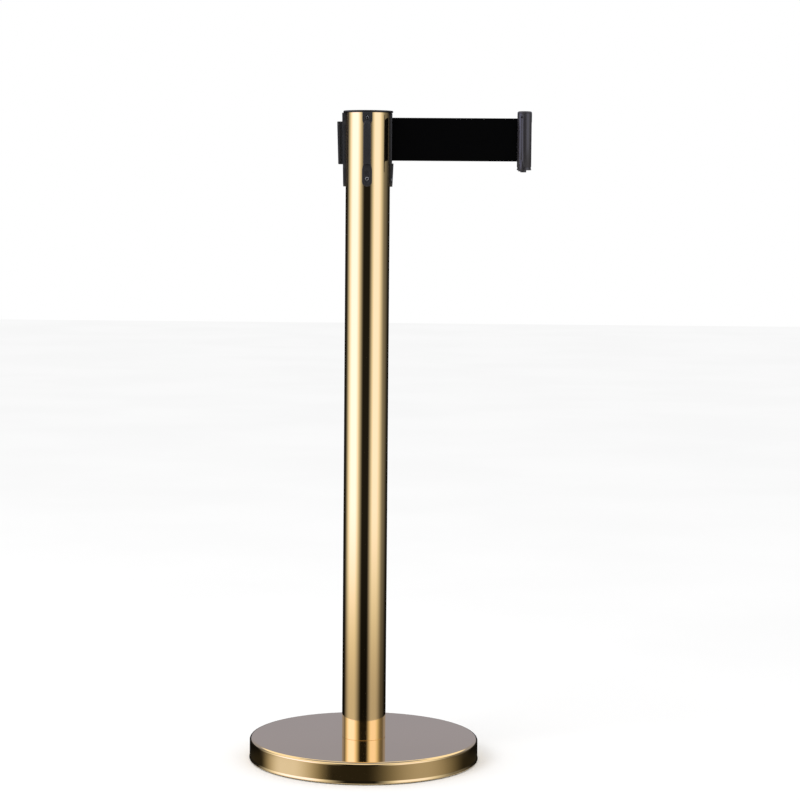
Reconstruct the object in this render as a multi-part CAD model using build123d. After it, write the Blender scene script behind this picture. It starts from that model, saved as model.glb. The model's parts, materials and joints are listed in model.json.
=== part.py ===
from build123d import *
import math
import os

# Retractable belt stanchion. Millimetres, +Z up, origin on the floor at the post's axis.
# The belt is pulled out along +X. The head has receivers on its -Y, -X and +Y sides.

# ---- driving dimensions -------------------------------------------------------------------
POST_TOP = 930.0          # top end of the post tube above the floor
TUBE_OD = 63.0
TUBE_WALL = 1.2

BASE_D = 330.0            # base cover across the top of its skirt
BASE_SKIRT_D = 331.2      # and across the skirt's lower edge
BASE_H = 32.0             # flat top of the base above the floor
COVER_T = 1.0
COVER_EDGE_R = 4.2
SKIRT_LIFT = 1.5          # lower edge of the skirt above the floor
SKIRT_GAP = 7.0           # between the cover's outside and the weight

WEIGHT_T = 17.0
WEIGHT_BOSS_D = 84.0
SPIGOT_D = 28.0
RING_W = 11.0             # rubber floor ring, across its section
RING_T = 4.0
RING_TONGUE_W = 4.0
RING_TONGUE_H = 2.5
PLUG_FLANGE_D = 42.0
RECESS_D = 34.0
HEAD_ROOM = 0.6           # between the tie bolt's head and the recess plug
SPIGOT_H = 5.0            # tube foot's spigot below the cover

FOOT_T = 12.0
TIE_D = 10.2              # root of the tie bolt's thread
TIE_HEAD_AF = 19.0
TIE_HEAD_H = 7.5
TIE_REACH = 6.0           # bolt end above the tube foot
WASHER_D = 24.0
WASHER_T = 2.5
SPRING_WASHER_D = 20.0
SPRING_WASHER_T = 2.5
SPRING_WASHER_GAP = 3.0

CAP_D = 70.5
CAP_T = 3.0
CAP_EDGE = 0.8
CAP_SPIGOT_WALL = 2.0

BELT_W = 60.8
BELT_T = 0.5
BELT_TOP = 6.8            # upper edge of the belt below the tube's top
BELT_WOUND = 1970.0       # length of belt on the spool at rest
BELT_OUT = 221.5          # clip's axis from the post's axis at rest

CORE_D = 16.0
FLANGE_D = 43.0
FLANGE_T = 1.0
ROLL_END_GAP = 0.6        # between belt roll and flange
SPINDLE_D = 6.0
BUSH_D = 10.0
BUSH_L = 8.0
HUB_D = 12.0
ARBOR_D = 13.6
DRIVE_W = 3.0
DRIVE_H = 3.0

CASE_WALL = 2.5
LID_T = 2.0
FLOOR_T = 2.0
THRUST_T = 0.4
CASE_BELOW_SCREW = 6.9    # cassette's lower end below the receivers' lower screws
SPRING_END_GAP = 3.0      # between the spring strip and each end of its chamber
SPRING_STRIP_T = 0.3
SPRING_OD = 43.0
SPRING_TURNS = 8
CASE_BOSS_D = 5.2
CASE_BOSS_R = 25.5        # from the axis to the cassette's lid screws
CASE_BOSS_ANGLES = (45, 135, 225, 315)
CASE_SCREW_D = 2.4
CASE_SCREW_L = 9.0
CASE_HEAD_D = 4.4
CASE_HEAD_H = 1.4

ROLLER_D = 4.0
ROLLER_X = 24.5
ROLLER_PIN_D = 2.0
NIP = 1.2                 # space between the two guide rollers
SLOT_W = 6.0              # belt slot, across the belt
SLOT_END_GAP = 0.8        # belt slot beyond each edge of the belt
SLEEVE_WALL = 1.6

RECEIVER_H = 104.5
RECEIVER_TOP_STAND = 5.4  # base plate proud of the tube at its top
RECEIVER_LOW_STAND = 3.4  # and at its lower end
LUG_W = 14.0
WAIST_W = 10.0
LUG_TOP_H = 11.5
WAIST_TOP = 18.0
WAIST_LOW = 70.0
LUG_LOW = 82.0
RAIL_TOP = 12.6
RAIL_LOW = 73.0
RAIL_TOP_STAND = 12.5     # rail's outer face proud of the tube
RAIL_LOW_STAND = 10.6
RAIL_W = 10.6
RAIL_HEAD_T = 3.5
RAIL_WEB_W = 4.5
RAIL_LEAD = 6.5           # length of the rail's tapered upper end
RAIL_LEAD_W = 6.0
SCREW_TOP = 7.7           # upper screw below the tube's top
SCREW_LOW = 93.5
POCKET_TOP_W = 5.6
POCKET_TOP_H = 7.0
POCKET_TOP_DEPTH = 2.4
POCKET_LOW_W = 6.0
POCKET_LOW_TOP = 82.0
POCKET_LOW_END = 100.0
POCKET_LOW_DEPTH = 1.8
SCREW_D = 2.8
SCREW_HEAD_D = 5.2
SCREW_HEAD_H = 1.5
SCREW_END_R = 23.6        # screw tip from the post's axis
EXIT_BEZEL_STAND = 2.6
EXIT_BEZEL_W = 18.0
EXIT_BEZEL_H = 73.0
EXIT_LUG_STAND = 4.7

CLIP_D = 20.6
CLIP_TOP = 3.3            # clip's top above the tube's top
CLIP_LOW = 79.8           # clip's lower end below the tube's top
CLIP_CAP_T = 3.0
CLIP_EDGE = 2.6           # rounding of the cap's rim
CLIP_LOW_EDGE = 0.5
CLIP_NECK_D = 19.7        # shallow neck above the clip's lower end
CLIP_NECK_LOW = 2.0
CLIP_NECK_TOP = 4.6
CLIP_CAP_SPIGOT_D = 5.0
CLIP_CAP_SPIGOT_H = 4.0
CLIP_CAP_SPIGOT_X = 4.5
PARTING_X = -4.2          # parting plane from the clip's axis
PARTING_GAP = 0.3
SLOT_HEAD_W = 11.4        # T-slot of the clip
SLOT_HEAD_T = 4.3
SLOT_HEAD_X = 3.2         # inner wall of the T-slot from the clip's axis
SLOT_MOUTH_W = 5.2
SLOT_TOP = 12.0
BAR_D = 3.2
BAR_NEST_D = 5.0
BAR_SHORT = 1.6           # bar shorter than the belt's width at each end
PIN_D = 3.0
PIN_BELOW_TOP = 5.4
PIN_RECESS = 2.0
PIN_DIMPLE = 1.5          # depth of the hole in each end of the pin
WEDGE_TOP = 65.0
WEDGE_LOW_W = 8.5
WEDGE_TOP_W = 1.4
WEDGE_FOOT_H = 3.0
WEDGE_FOOT_SHIFT = 3.0    # foot towards the clip's axis

# ---- named clearances ---------------------------------------------------------------------
FIT = 0.1                 # between pieces that are fastened together
TURN = 0.05               # radial, shaft in a turning bore
FREE = 0.3                # between pieces that pass each other
CASE_FIT = 0.4            # cassette in the tube
SCREW_FIT = 0.3           # radial, screw through a clearance hole

# ---- values worked out from them ------------------------------------------------------------
TUBE_R = TUBE_OD / 2
TUBE_BORE_R = TUBE_R - TUBE_WALL
CASE_R = TUBE_BORE_R - CASE_FIT
CASE_BORE_R = CASE_R - CASE_WALL
BELT_HIGH_Z = POST_TOP - BELT_TOP
BELT_LOW_Z = BELT_HIGH_Z - BELT_W
SPOOL_TOP_Z = BELT_HIGH_Z + ROLL_END_GAP + FLANGE_T
SPOOL_LOW_Z = BELT_LOW_Z - ROLL_END_GAP - FLANGE_T
LID_Z = SPOOL_TOP_Z + THRUST_T + FIT
FLOOR_Z = SPOOL_LOW_Z - THRUST_T - FIT - FLOOR_T
CASE_LOW_Z = POST_TOP - SCREW_LOW - CASE_BELOW_SCREW
CAP_SPIGOT_LOW_Z = LID_Z + LID_T + FREE
SPRING_COVER_Z = CASE_LOW_Z - LID_T
SPINDLE_TOP_Z = LID_Z + LID_T
SPINDLE_LOW_Z = SPRING_COVER_Z - 3.5
ROLL_R = math.sqrt((CORE_D / 2 + FIT) ** 2 + BELT_WOUND * BELT_T / math.pi)
ROLLER_Y = (NIP + ROLLER_D) / 2
SLOT_HIGH_Z = BELT_HIGH_Z + SLOT_END_GAP
SLOT_LOW_Z = BELT_LOW_Z - SLOT_END_GAP
SLEEVE_HIGH_Z = LID_Z - FIT
SLEEVE_LOW_Z = FLOOR_Z + FLOOR_T + FIT
CLIP_R = CLIP_D / 2
CLIP_LOW_Z = POST_TOP - CLIP_LOW
CLIP_BODY_TOP_Z = POST_TOP + CLIP_TOP - CLIP_CAP_T
WEIGHT_LOW_Z = RING_T
WEIGHT_TOP_Z = WEIGHT_LOW_Z + WEIGHT_T
RECESS_TOP_Z = WEIGHT_LOW_Z + HEAD_ROOM + TIE_HEAD_H + SPRING_WASHER_T + WASHER_T
COVER_UNDER_Z = BASE_H - COVER_T
WEIGHT_R = BASE_D / 2 - SKIRT_GAP


# ---- small helpers --------------------------------------------------------------------------
def disc(radius, low, high, x=0.0, y=0.0):
    """Upright cylinder between two heights."""
    return Pos(x, y, (low + high) / 2) * Cylinder(radius, high - low)


def ring(outer, inner, low, high, x=0.0, y=0.0):
    """Upright tube between two heights; its bore is cut past both ends."""
    return disc(outer, low, high, x, y) - disc(inner, low - 1, high + 1, x, y)


def block(x0, x1, y0, y1, z0, z1):
    """Box between two corners."""
    centre = Pos((x0 + x1) / 2, (y0 + y1) / 2, (z0 + z1) / 2)
    return centre * Box(x1 - x0, y1 - y0, z1 - z0)


def rod_x(radius, x0, x1, z, y=0.0):
    """Cylinder lying along X."""
    return Pos((x0 + x1) / 2, y, z) * Rot(0, 90, 0) * Cylinder(radius, x1 - x0)


def rod_y(radius, y0, y1, x, z):
    """Cylinder lying along Y."""
    return Pos(x, (y0 + y1) / 2, z) * Rot(90, 0, 0) * Cylinder(radius, y1 - y0)


def prism_x(outline, x0, x1):
    """Outline of (y, z) points, pushed along X from x0 to x1."""
    face = make_face(Polyline(*[(x0, y, z) for y, z in outline], close=True))
    return extrude(face, amount=x1 - x0, dir=(1, 0, 0))


def prism_y(outline, half_width):
    """Outline of (x, z) points, pushed both ways along Y."""
    face = make_face(Polyline(*[(x, -half_width, z) for x, z in outline], close=True))
    return extrude(face, amount=2 * half_width, dir=(0, 1, 0))


def turned(shape, angle):
    """Shape turned about the post's axis."""
    return Rot(0, 0, angle) * shape


def keep(name, *shapes):
    """Write one node; several shapes make a group of separate solids."""
    solids = [solid for shape in shapes for solid in shape.solids()]
    whole = solids[0] if len(solids) == 1 else Compound(children=solids)
    whole.label = name
    export_step(whole, f"parts/{name}.step")


# ---- base -----------------------------------------------------------------------------------
def skirt_solid(inset, foot_z):
    """Solid of revolution inside the cover's outer surface, moved in by inset."""
    top_r = BASE_D / 2 - inset
    foot_r = BASE_SKIRT_D / 2 - inset
    top_z = BASE_H - inset
    outline = Polyline((0, 0, foot_z), (0, 0, top_z), (top_r, 0, top_z), (foot_r, 0, foot_z), close=True)
    solid = revolve(make_face(outline), Axis.Z)
    rim = solid.edges().filter_by(GeomType.CIRCLE).sort_by(Axis.Z)[-1]
    return fillet(rim, COVER_EDGE_R - inset)


def base_cover():
    shell = skirt_solid(0, SKIRT_LIFT) - skirt_solid(COVER_T, SKIRT_LIFT - 1)
    return shell - disc(SPIGOT_D / 2 + FREE, COVER_UNDER_Z - 1, BASE_H + 1)


def base_weight():
    body = disc(WEIGHT_R, WEIGHT_LOW_Z, WEIGHT_TOP_Z)
    body = chamfer(body.edges().filter_by(GeomType.CIRCLE).sort_by(Axis.Z)[-1], 3)
    body += disc(WEIGHT_BOSS_D / 2, WEIGHT_LOW_Z, COVER_UNDER_Z)
    seat_z = BASE_H - COVER_T - SPIGOT_H - FIT
    body -= disc(SPIGOT_D / 2 + FIT, seat_z, BASE_H)
    body -= disc(RECESS_D / 2, WEIGHT_LOW_Z - 1, RECESS_TOP_Z)
    body -= disc(TIE_D / 2 + SCREW_FIT, 0, BASE_H)
    tongue_r = WEIGHT_R - RING_W / 2
    groove_w = RING_TONGUE_W / 2 + FIT
    groove_top = WEIGHT_LOW_Z + RING_TONGUE_H + FIT
    return body - ring(tongue_r + groove_w, tongue_r - groove_w, WEIGHT_LOW_Z - 1, groove_top)


def floor_ring():
    band = ring(WEIGHT_R, WEIGHT_R - RING_W, 0, RING_T)
    tongue_r = WEIGHT_R - RING_W / 2
    half = RING_TONGUE_W / 2
    return band + ring(tongue_r + half, tongue_r - half, RING_T - 1, RING_T + RING_TONGUE_H)


def recess_plug():
    lip_r = RECESS_D / 2 - FIT
    return disc(PLUG_FLANGE_D / 2, 0, RING_T - FIT) + ring(lip_r, lip_r - 2, 1, RING_T + 3)


def tube_foot():
    body = disc(TUBE_BORE_R - FIT, BASE_H, BASE_H + FOOT_T)
    body += disc(SPIGOT_D / 2, COVER_UNDER_Z - SPIGOT_H, BASE_H + 1)
    return body - disc(TIE_D / 2 + FIT, 0, BASE_H + FOOT_T + 1)


def tie_bolt():
    head_top = RECESS_TOP_Z - WASHER_T - SPRING_WASHER_T
    head = extrude(Pos(0, 0, head_top - TIE_HEAD_H) * RegularPolygon(TIE_HEAD_AF / math.sqrt(3), 6), TIE_HEAD_H)
    return head + disc(TIE_D / 2, head_top - 1, BASE_H + FOOT_T + TIE_REACH)


def plain_washer():
    return ring(WASHER_D / 2, TIE_D / 2 + SCREW_FIT, RECESS_TOP_Z - WASHER_T, RECESS_TOP_Z)


def spring_washer():
    top = RECESS_TOP_Z - WASHER_T
    body = ring(SPRING_WASHER_D / 2, TIE_D / 2 + SCREW_FIT, top - SPRING_WASHER_T, top)
    half = SPRING_WASHER_GAP / 2
    return body - block(0, SPRING_WASHER_D, -half, half, top - SPRING_WASHER_T - 1, top + 1)


# ---- post -----------------------------------------------------------------------------------
def post_tube():
    body = ring(TUBE_R, TUBE_BORE_R, BASE_H, POST_TOP)
    half = SLOT_W / 2 + SLEEVE_WALL + FIT
    body -= block(TUBE_BORE_R - 8, TUBE_R + 2, -half, half, SLEEVE_LOW_Z - FIT, SLEEVE_HIGH_Z + FIT)
    hole_r = SCREW_D / 2 + SCREW_FIT
    for angle in (0, 90, 180, 270):
        heights = (SCREW_LOW,) if angle == 0 else (SCREW_TOP, SCREW_LOW)
        for below in heights:
            body -= turned(rod_x(hole_r, TUBE_R - 8, TUBE_R + 4, POST_TOP - below), angle)
    return body


def top_cap():
    body = disc(CAP_D / 2, POST_TOP, POST_TOP + CAP_T)
    body = fillet(body.edges().filter_by(GeomType.CIRCLE).sort_by(Axis.Z)[-1], CAP_EDGE)
    spigot_r = TUBE_BORE_R - FIT
    return body + ring(spigot_r, spigot_r - CAP_SPIGOT_WALL, CAP_SPIGOT_LOW_Z, POST_TOP + 1)


# ---- receivers and exit guide, all facing +X before they are turned ---------------------------
def lug_outline():
    """Half outline of the base plate: (half width, depth below the tube's top)."""
    return [
        (LUG_W / 2, FREE), (LUG_W / 2, LUG_TOP_H), (WAIST_W / 2, WAIST_TOP),
        (WAIST_W / 2, WAIST_LOW), (LUG_W / 2, LUG_LOW), (LUG_W / 2, RECEIVER_H - LUG_W / 2),
    ]


def stand_at(below, top_stand, low_stand):
    """Distance of a tapering face from the post's axis, at a depth below the tube's top."""
    return TUBE_R + top_stand + (low_stand - top_stand) * below / RECEIVER_H


def tapered_slab(top_below, low_below, top_stand, low_stand, half_width):
    """From inside the tube out to a face that leans in towards its lower end."""
    outer_top = TUBE_R + top_stand
    outer_low = TUBE_R + low_stand
    inner = TUBE_R - 4
    outline = [
        (inner, POST_TOP - top_below), (outer_top, POST_TOP - top_below),
        (outer_low, POST_TOP - low_below), (inner, POST_TOP - low_below),
    ]
    return prism_y(outline, half_width)


def round_end(low_z, width):
    """Round lower end of a lug, as a cylinder along X."""
    return rod_x(width / 2, TUBE_R - 4, TUBE_R + 14, low_z + width / 2)


def base_plate():
    half = lug_outline()
    outline = [(w, POST_TOP - d) for w, d in half] + [(-w, POST_TOP - d) for w, d in reversed(half)]
    plate = prism_x(outline, TUBE_R - 4, TUBE_R + 14) + round_end(POST_TOP - RECEIVER_H, LUG_W)
    slab = tapered_slab(0, RECEIVER_H, RECEIVER_TOP_STAND, RECEIVER_LOW_STAND, LUG_W)
    return plate & slab


def rail_face(below):
    """Rail's outer face from the post's axis at a depth below the tube's top."""
    share = (below - RAIL_TOP) / (RAIL_LOW - RAIL_TOP)
    return TUBE_R + RAIL_TOP_STAND + share * (RAIL_LOW_STAND - RAIL_TOP_STAND)


def rail():
    top_z = POST_TOP - RAIL_TOP
    low_z = POST_TOP - RAIL_LOW
    top_x = rail_face(RAIL_TOP)
    low_x = rail_face(RAIL_LOW)
    head = prism_y(
        [(top_x - RAIL_HEAD_T, top_z), (top_x, top_z), (low_x, low_z), (low_x - RAIL_HEAD_T, low_z)],
        RAIL_W / 2,
    )
    lead_half = RAIL_LEAD_W / 2
    half = RAIL_W / 2
    front = [
        (-lead_half, top_z), (lead_half, top_z), (half, top_z - RAIL_LEAD), (half, low_z),
        (-half, low_z), (-half, top_z - RAIL_LEAD),
    ]
    head &= prism_x(front, TUBE_R, TUBE_R + 2 * RAIL_TOP_STAND)
    web = prism_y(
        [(TUBE_R - 2, top_z), (top_x - 1, top_z), (low_x - 1, low_z), (TUBE_R - 2, low_z)],
        RAIL_WEB_W / 2,
    )
    return head + web


def screw_pocket(width, top_below, low_below, depth):
    """Recess in a lug's outer face, from the face in to its floor."""
    floor_x = stand_at(low_below, RECEIVER_TOP_STAND, RECEIVER_LOW_STAND) - depth
    half = width / 2
    return block(floor_x, TUBE_R + 14, -half, half, POST_TOP - low_below, POST_TOP - top_below), floor_x


def upper_pocket():
    middle = SCREW_TOP
    return screw_pocket(
        POCKET_TOP_W, middle - POCKET_TOP_H / 2, middle + POCKET_TOP_H / 2, POCKET_TOP_DEPTH)


def lower_pocket():
    return screw_pocket(POCKET_LOW_W, POCKET_LOW_TOP, POCKET_LOW_END, POCKET_LOW_DEPTH)


def tube_clear():
    """What the tube takes out of a piece that lies on it."""
    return disc(TUBE_R + FIT, POST_TOP - 2 * RECEIVER_H, POST_TOP + 10)


def screw_hole(below):
    return rod_x(SCREW_D / 2 + SCREW_FIT, TUBE_R - 8, TUBE_R + 14, POST_TOP - below)


def receiver():
    body = base_plate() + rail()
    body -= tube_clear()
    body -= upper_pocket()[0]
    body -= lower_pocket()[0]
    return body - screw_hole(SCREW_TOP) - screw_hole(SCREW_LOW)


def exit_guide():
    top_z = POST_TOP - FREE
    bezel_low_z = POST_TOP - EXIT_BEZEL_H
    bezel_x = TUBE_R + EXIT_BEZEL_STAND
    bezel = block(TUBE_R - 4, bezel_x, -EXIT_BEZEL_W / 2, EXIT_BEZEL_W / 2, bezel_low_z, top_z)
    bezel = fillet(bezel.edges().filter_by(Axis.Z).sort_by(Axis.X)[-2:], EXIT_BEZEL_STAND / 2)
    lug_low_z = POST_TOP - RECEIVER_H
    half = LUG_W / 2
    lug = block(TUBE_R - 4, TUBE_R + 14, -half, half, lug_low_z + half, bezel_low_z + 1)
    lug += round_end(lug_low_z, LUG_W)
    lug &= tapered_slab(EXIT_BEZEL_H - 1, RECEIVER_H, EXIT_LUG_STAND, RECEIVER_LOW_STAND, LUG_W)
    body = bezel + lug - tube_clear()
    sleeve_half = SLOT_W / 2 + SLEEVE_WALL
    sleeve_in = math.hypot(ROLLER_X, ROLLER_Y) + ROLLER_D / 2 + FREE
    body += block(sleeve_in, TUBE_R + 1, -sleeve_half, sleeve_half, SLEEVE_LOW_Z, SLEEVE_HIGH_Z)
    body -= block(0, TUBE_R + 14, -SLOT_W / 2, SLOT_W / 2, SLOT_LOW_Z, SLOT_HIGH_Z)
    body -= lower_pocket()[0]
    return body - screw_hole(SCREW_LOW)


def head_screw(below, floor_x):
    z = POST_TOP - below
    head = rod_x(SCREW_HEAD_D / 2, floor_x, floor_x + SCREW_HEAD_H, z)
    shank = rod_x(SCREW_D / 2, SCREW_END_R, floor_x + 0.5, z)
    drive = block(floor_x + SCREW_HEAD_H - 0.6, floor_x + 4, -0.4, 0.4, z - 1.7, z + 1.7)
    cross = block(floor_x + SCREW_HEAD_H - 0.6, floor_x + 4, -1.7, 1.7, z - 0.4, z + 0.4)
    return head + shank - drive - cross


def receiver_screws():
    screws = []
    for angle in (0, 90, 180, 270):
        screws.append(turned(head_screw(SCREW_LOW, lower_pocket()[1]), angle))
        if angle:
            screws.append(turned(head_screw(SCREW_TOP, upper_pocket()[1]), angle))
    return screws


# ---- cassette -------------------------------------------------------------------------------
def case_bosses(low, high):
    """Four screw bosses joined to the cassette's wall."""
    posts = []
    for angle in CASE_BOSS_ANGLES:
        boss = disc(CASE_BOSS_D / 2, low, high, CASE_BOSS_R)
        rib = block(CASE_BOSS_R, CASE_BORE_R + 1, -CASE_BOSS_D / 4, CASE_BOSS_D / 4, low, high)
        posts.append(turned(boss + rib, angle))
    return posts


def case_holes(radius, low, high):
    return [turned(disc(radius, low, high, CASE_BOSS_R), angle) for angle in CASE_BOSS_ANGLES]


def receiver_block(below, low_z, high_z):
    """Block inside the cassette's wall that a receiver's screw bites into."""
    z = POST_TOP - below
    outer = CASE_BORE_R + 1
    return block(SCREW_END_R - 0.8, outer, -4, 4, max(z - 4, low_z), min(z + 4, high_z))


def cassette_shell():
    body = ring(CASE_R, CASE_BORE_R, CASE_LOW_Z, LID_Z)
    body += disc(CASE_BORE_R + 1, FLOOR_Z, FLOOR_Z + FLOOR_T)
    for boss in case_bosses(CASE_LOW_Z, LID_Z):
        body += boss
    for angle in (90, 180, 270):
        body += turned(receiver_block(SCREW_TOP, FLOOR_Z, LID_Z), angle)
    for angle in (0, 90, 180, 270):
        body += turned(receiver_block(SCREW_LOW, CASE_LOW_Z, FLOOR_Z), angle)
    pilot = SCREW_D / 2 + TURN
    for angle in (0, 90, 180, 270):
        body -= turned(rod_x(pilot, SCREW_END_R - 2, CASE_R + 1, POST_TOP - SCREW_LOW), angle)
        if angle:
            body -= turned(rod_x(pilot, SCREW_END_R - 2, CASE_R + 1, POST_TOP - SCREW_TOP), angle)
    for hole in case_holes(CASE_SCREW_D / 2 + TURN, LID_Z - CASE_SCREW_L, LID_Z + 1):
        body -= hole
    for hole in case_holes(CASE_SCREW_D / 2 + TURN, CASE_LOW_Z - 1, CASE_LOW_Z + CASE_SCREW_L):
        body -= hole
    half = SLOT_W / 2 + SLEEVE_WALL + FIT
    body -= block(CASE_BORE_R - 4, CASE_R + 2, -half, half, FLOOR_Z + FLOOR_T, LID_Z + 1)
    body -= disc(HUB_D / 2 + FREE, FLOOR_Z - 1, FLOOR_Z + FLOOR_T + 1)
    for side in (1, -1):
        body -= disc(ROLLER_PIN_D / 2 + TURN, FLOOR_Z - 1, FLOOR_Z + FLOOR_T + 1, ROLLER_X, side * ROLLER_Y)
    return body


def plate_with_screw_holes(low):
    body = disc(CASE_R, low, low + LID_T)
    for hole in case_holes(CASE_SCREW_D / 2 + SCREW_FIT, low - 1, low + LID_T + 1):
        body -= hole
    return body - disc(SPINDLE_D / 2 + TURN, low - 1, low + LID_T + 1)


def cassette_lid():
    body = plate_with_screw_holes(LID_Z)
    for side in (1, -1):
        body -= disc(ROLLER_PIN_D / 2 + TURN, LID_Z - 1, LID_Z + LID_T + 1, ROLLER_X, side * ROLLER_Y)
    return body


def spring_cover():
    return plate_with_screw_holes(SPRING_COVER_Z)


def case_screw(seat_z, away):
    """Screw that holds a cassette plate; away is +1 with its head up and -1 with its head down."""
    head_end = seat_z + away * CASE_HEAD_H
    tip = seat_z - away * (CASE_SCREW_L + LID_T - 1)
    head = disc(CASE_HEAD_D / 2, min(seat_z, head_end), max(seat_z, head_end), CASE_BOSS_R)
    shank = disc(CASE_SCREW_D / 2, min(tip, seat_z), max(tip, seat_z), CASE_BOSS_R)
    slot_z = sorted((head_end - away * 0.6, head_end + away))
    return head + shank - block(CASE_BOSS_R - 3, CASE_BOSS_R + 3, -0.4, 0.4, *slot_z)


def case_screws(seat_z, away):
    return [turned(case_screw(seat_z, away), angle) for angle in CASE_BOSS_ANGLES]


def spindle():
    groove_z = SPRING_COVER_Z - 1.2
    groove = ring(SPINDLE_D, SPINDLE_D / 2 - 0.4, groove_z - 1.0, groove_z)
    return disc(SPINDLE_D / 2, SPINDLE_LOW_Z, SPINDLE_TOP_Z) - groove


def spindle_ring():
    """Open retaining ring in the spindle's groove, below the spring cover."""
    top = SPRING_COVER_Z - 1.3
    body = ring(SPINDLE_D / 2 + 2, SPINDLE_D / 2 - 0.3, top - 0.8, top)
    return body - block(0, SPINDLE_D * 2, -1, 1, top - 2, top + 1)


def thrust_washers():
    inner = SPINDLE_D / 2 + TURN
    outer = BUSH_D / 2
    low_z = FLOOR_Z + FLOOR_T
    upper = ring(outer, inner, SPOOL_TOP_Z + FIT / 2, LID_Z - FIT / 2)
    lower = ring(HUB_D / 2 + FREE + 3, HUB_D / 2 + FIT, low_z + FIT / 2, SPOOL_LOW_Z - FIT / 2)
    return [upper, lower]


# ---- spool ----------------------------------------------------------------------------------
def spool():
    core = disc(CORE_D / 2, SPOOL_LOW_Z, SPOOL_TOP_Z)
    upper = disc(FLANGE_D / 2, SPOOL_TOP_Z - FLANGE_T, SPOOL_TOP_Z)
    lower = disc(FLANGE_D / 2, SPOOL_LOW_Z, SPOOL_LOW_Z + FLANGE_T)
    hub_low = FLOOR_Z - FREE
    hub = disc(HUB_D / 2, hub_low, SPOOL_LOW_Z + 1)
    tongue = block(-HUB_D / 2, HUB_D / 2, -DRIVE_W / 2, DRIVE_W / 2, hub_low - DRIVE_H, hub_low + 1)
    tongue &= disc(HUB_D / 2, hub_low - DRIVE_H, hub_low + 1)
    body = core + upper + lower + hub + tongue
    body -= disc(SPINDLE_D / 2 + FREE, hub_low - DRIVE_H - 1, SPOOL_TOP_Z + 1)
    body -= disc(BUSH_D / 2 + FIT, SPOOL_TOP_Z - BUSH_L, SPOOL_TOP_Z + 1)
    return body - disc(BUSH_D / 2 + FIT, hub_low - DRIVE_H - 1, hub_low + BUSH_L)


def bush(low):
    return ring(BUSH_D / 2, SPINDLE_D / 2 + TURN, low, low + BUSH_L)


def spool_bush_top():
    return bush(SPOOL_TOP_Z - BUSH_L)


def spool_bush_low():
    return bush(FLOOR_Z - FREE)


def belt_roll():
    return ring(ROLL_R, CORE_D / 2 + FIT, BELT_LOW_Z, BELT_HIGH_Z)


def spring_arbor():
    top = FLOOR_Z - FREE - FIT
    low = CASE_LOW_Z + FREE
    body = ring(ARBOR_D / 2, SPINDLE_D / 2 + TURN, low, top)
    half = DRIVE_W / 2 + FIT
    return body - block(-ARBOR_D, ARBOR_D, -half, half, top - DRIVE_H - FIT, top + 1)


def power_spring():
    """Flat spiral strip made of half turns, each a half ring with its own radius."""
    first_r = ARBOR_D / 2 + FREE + SPRING_STRIP_T / 2
    last_r = SPRING_OD / 2 - SPRING_STRIP_T / 2
    halves = 2 * SPRING_TURNS
    step = (last_r - first_r) / halves
    low = CASE_LOW_Z + SPRING_END_GAP
    high = FLOOR_Z - SPRING_END_GAP
    strip = None
    x = 0.0
    for half in range(halves):
        radius = first_r + half * step
        turn = ring(radius + SPRING_STRIP_T / 2, radius - SPRING_STRIP_T / 2, low, high, x)
        side = 1 if half % 2 == 0 else -1
        reach = SPRING_OD * 2
        turn &= block(-reach, reach, min(0, side * reach), max(0, side * reach), low - 1, high + 1)
        strip = turn if strip is None else strip + turn
        x += -step if half % 2 == 0 else step
    return strip


# ---- belt exit rollers ------------------------------------------------------------------------
def guide_roller(side):
    gap = THRUST_T + FIT
    low = FLOOR_Z + FLOOR_T + gap
    high = LID_Z - gap
    return ring(ROLLER_D / 2, ROLLER_PIN_D / 2 + TURN, low, high, ROLLER_X, side * ROLLER_Y)


def roller_pins():
    return [
        disc(ROLLER_PIN_D / 2, FLOOR_Z, LID_Z + LID_T, ROLLER_X, side * ROLLER_Y)
        for side in (1, -1)
    ]


# ---- belt -----------------------------------------------------------------------------------
def belt_web():
    """Free stretch of the belt: off the roll, round the +Y roller, straight out to the clip's bar."""
    wrap_r = ROLLER_Y
    roll_r = ROLL_R + BELT_T / 2 + FREE
    reach = math.hypot(ROLLER_X, ROLLER_Y)
    normal = math.atan2(ROLLER_Y, ROLLER_X) + math.acos((roll_r + wrap_r) / reach)
    off_roll = (roll_r * math.cos(normal), roll_r * math.sin(normal))
    on_roller = (
        ROLLER_X - wrap_r * math.cos(normal), ROLLER_Y - wrap_r * math.sin(normal))
    middle = (normal + math.pi + 1.5 * math.pi) / 2
    arc_mid = (ROLLER_X + wrap_r * math.cos(middle), ROLLER_Y + wrap_r * math.sin(middle))
    bar_x = BELT_OUT + PARTING_X
    loop_r = BAR_D / 2 + BELT_T / 2 + FIT
    path = (
        Line(off_roll, on_roller)
        + ThreePointArc(on_roller, arc_mid, (ROLLER_X, 0))
        + Line((ROLLER_X, 0), (bar_x - loop_r, 0))
    )
    start = Plane(origin=(*off_roll, 0), x_dir=(0, 0, 1), z_dir=path.wire() % 0)
    strap = sweep(start * Rectangle(BELT_W, BELT_T), path=path.wire())
    middle_z = (BELT_LOW_Z + BELT_HIGH_Z) / 2
    strap = Pos(0, 0, middle_z) * strap
    return strap + ring(loop_r + BELT_T / 2, loop_r - BELT_T / 2, BELT_LOW_Z, BELT_HIGH_Z, bar_x)


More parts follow.
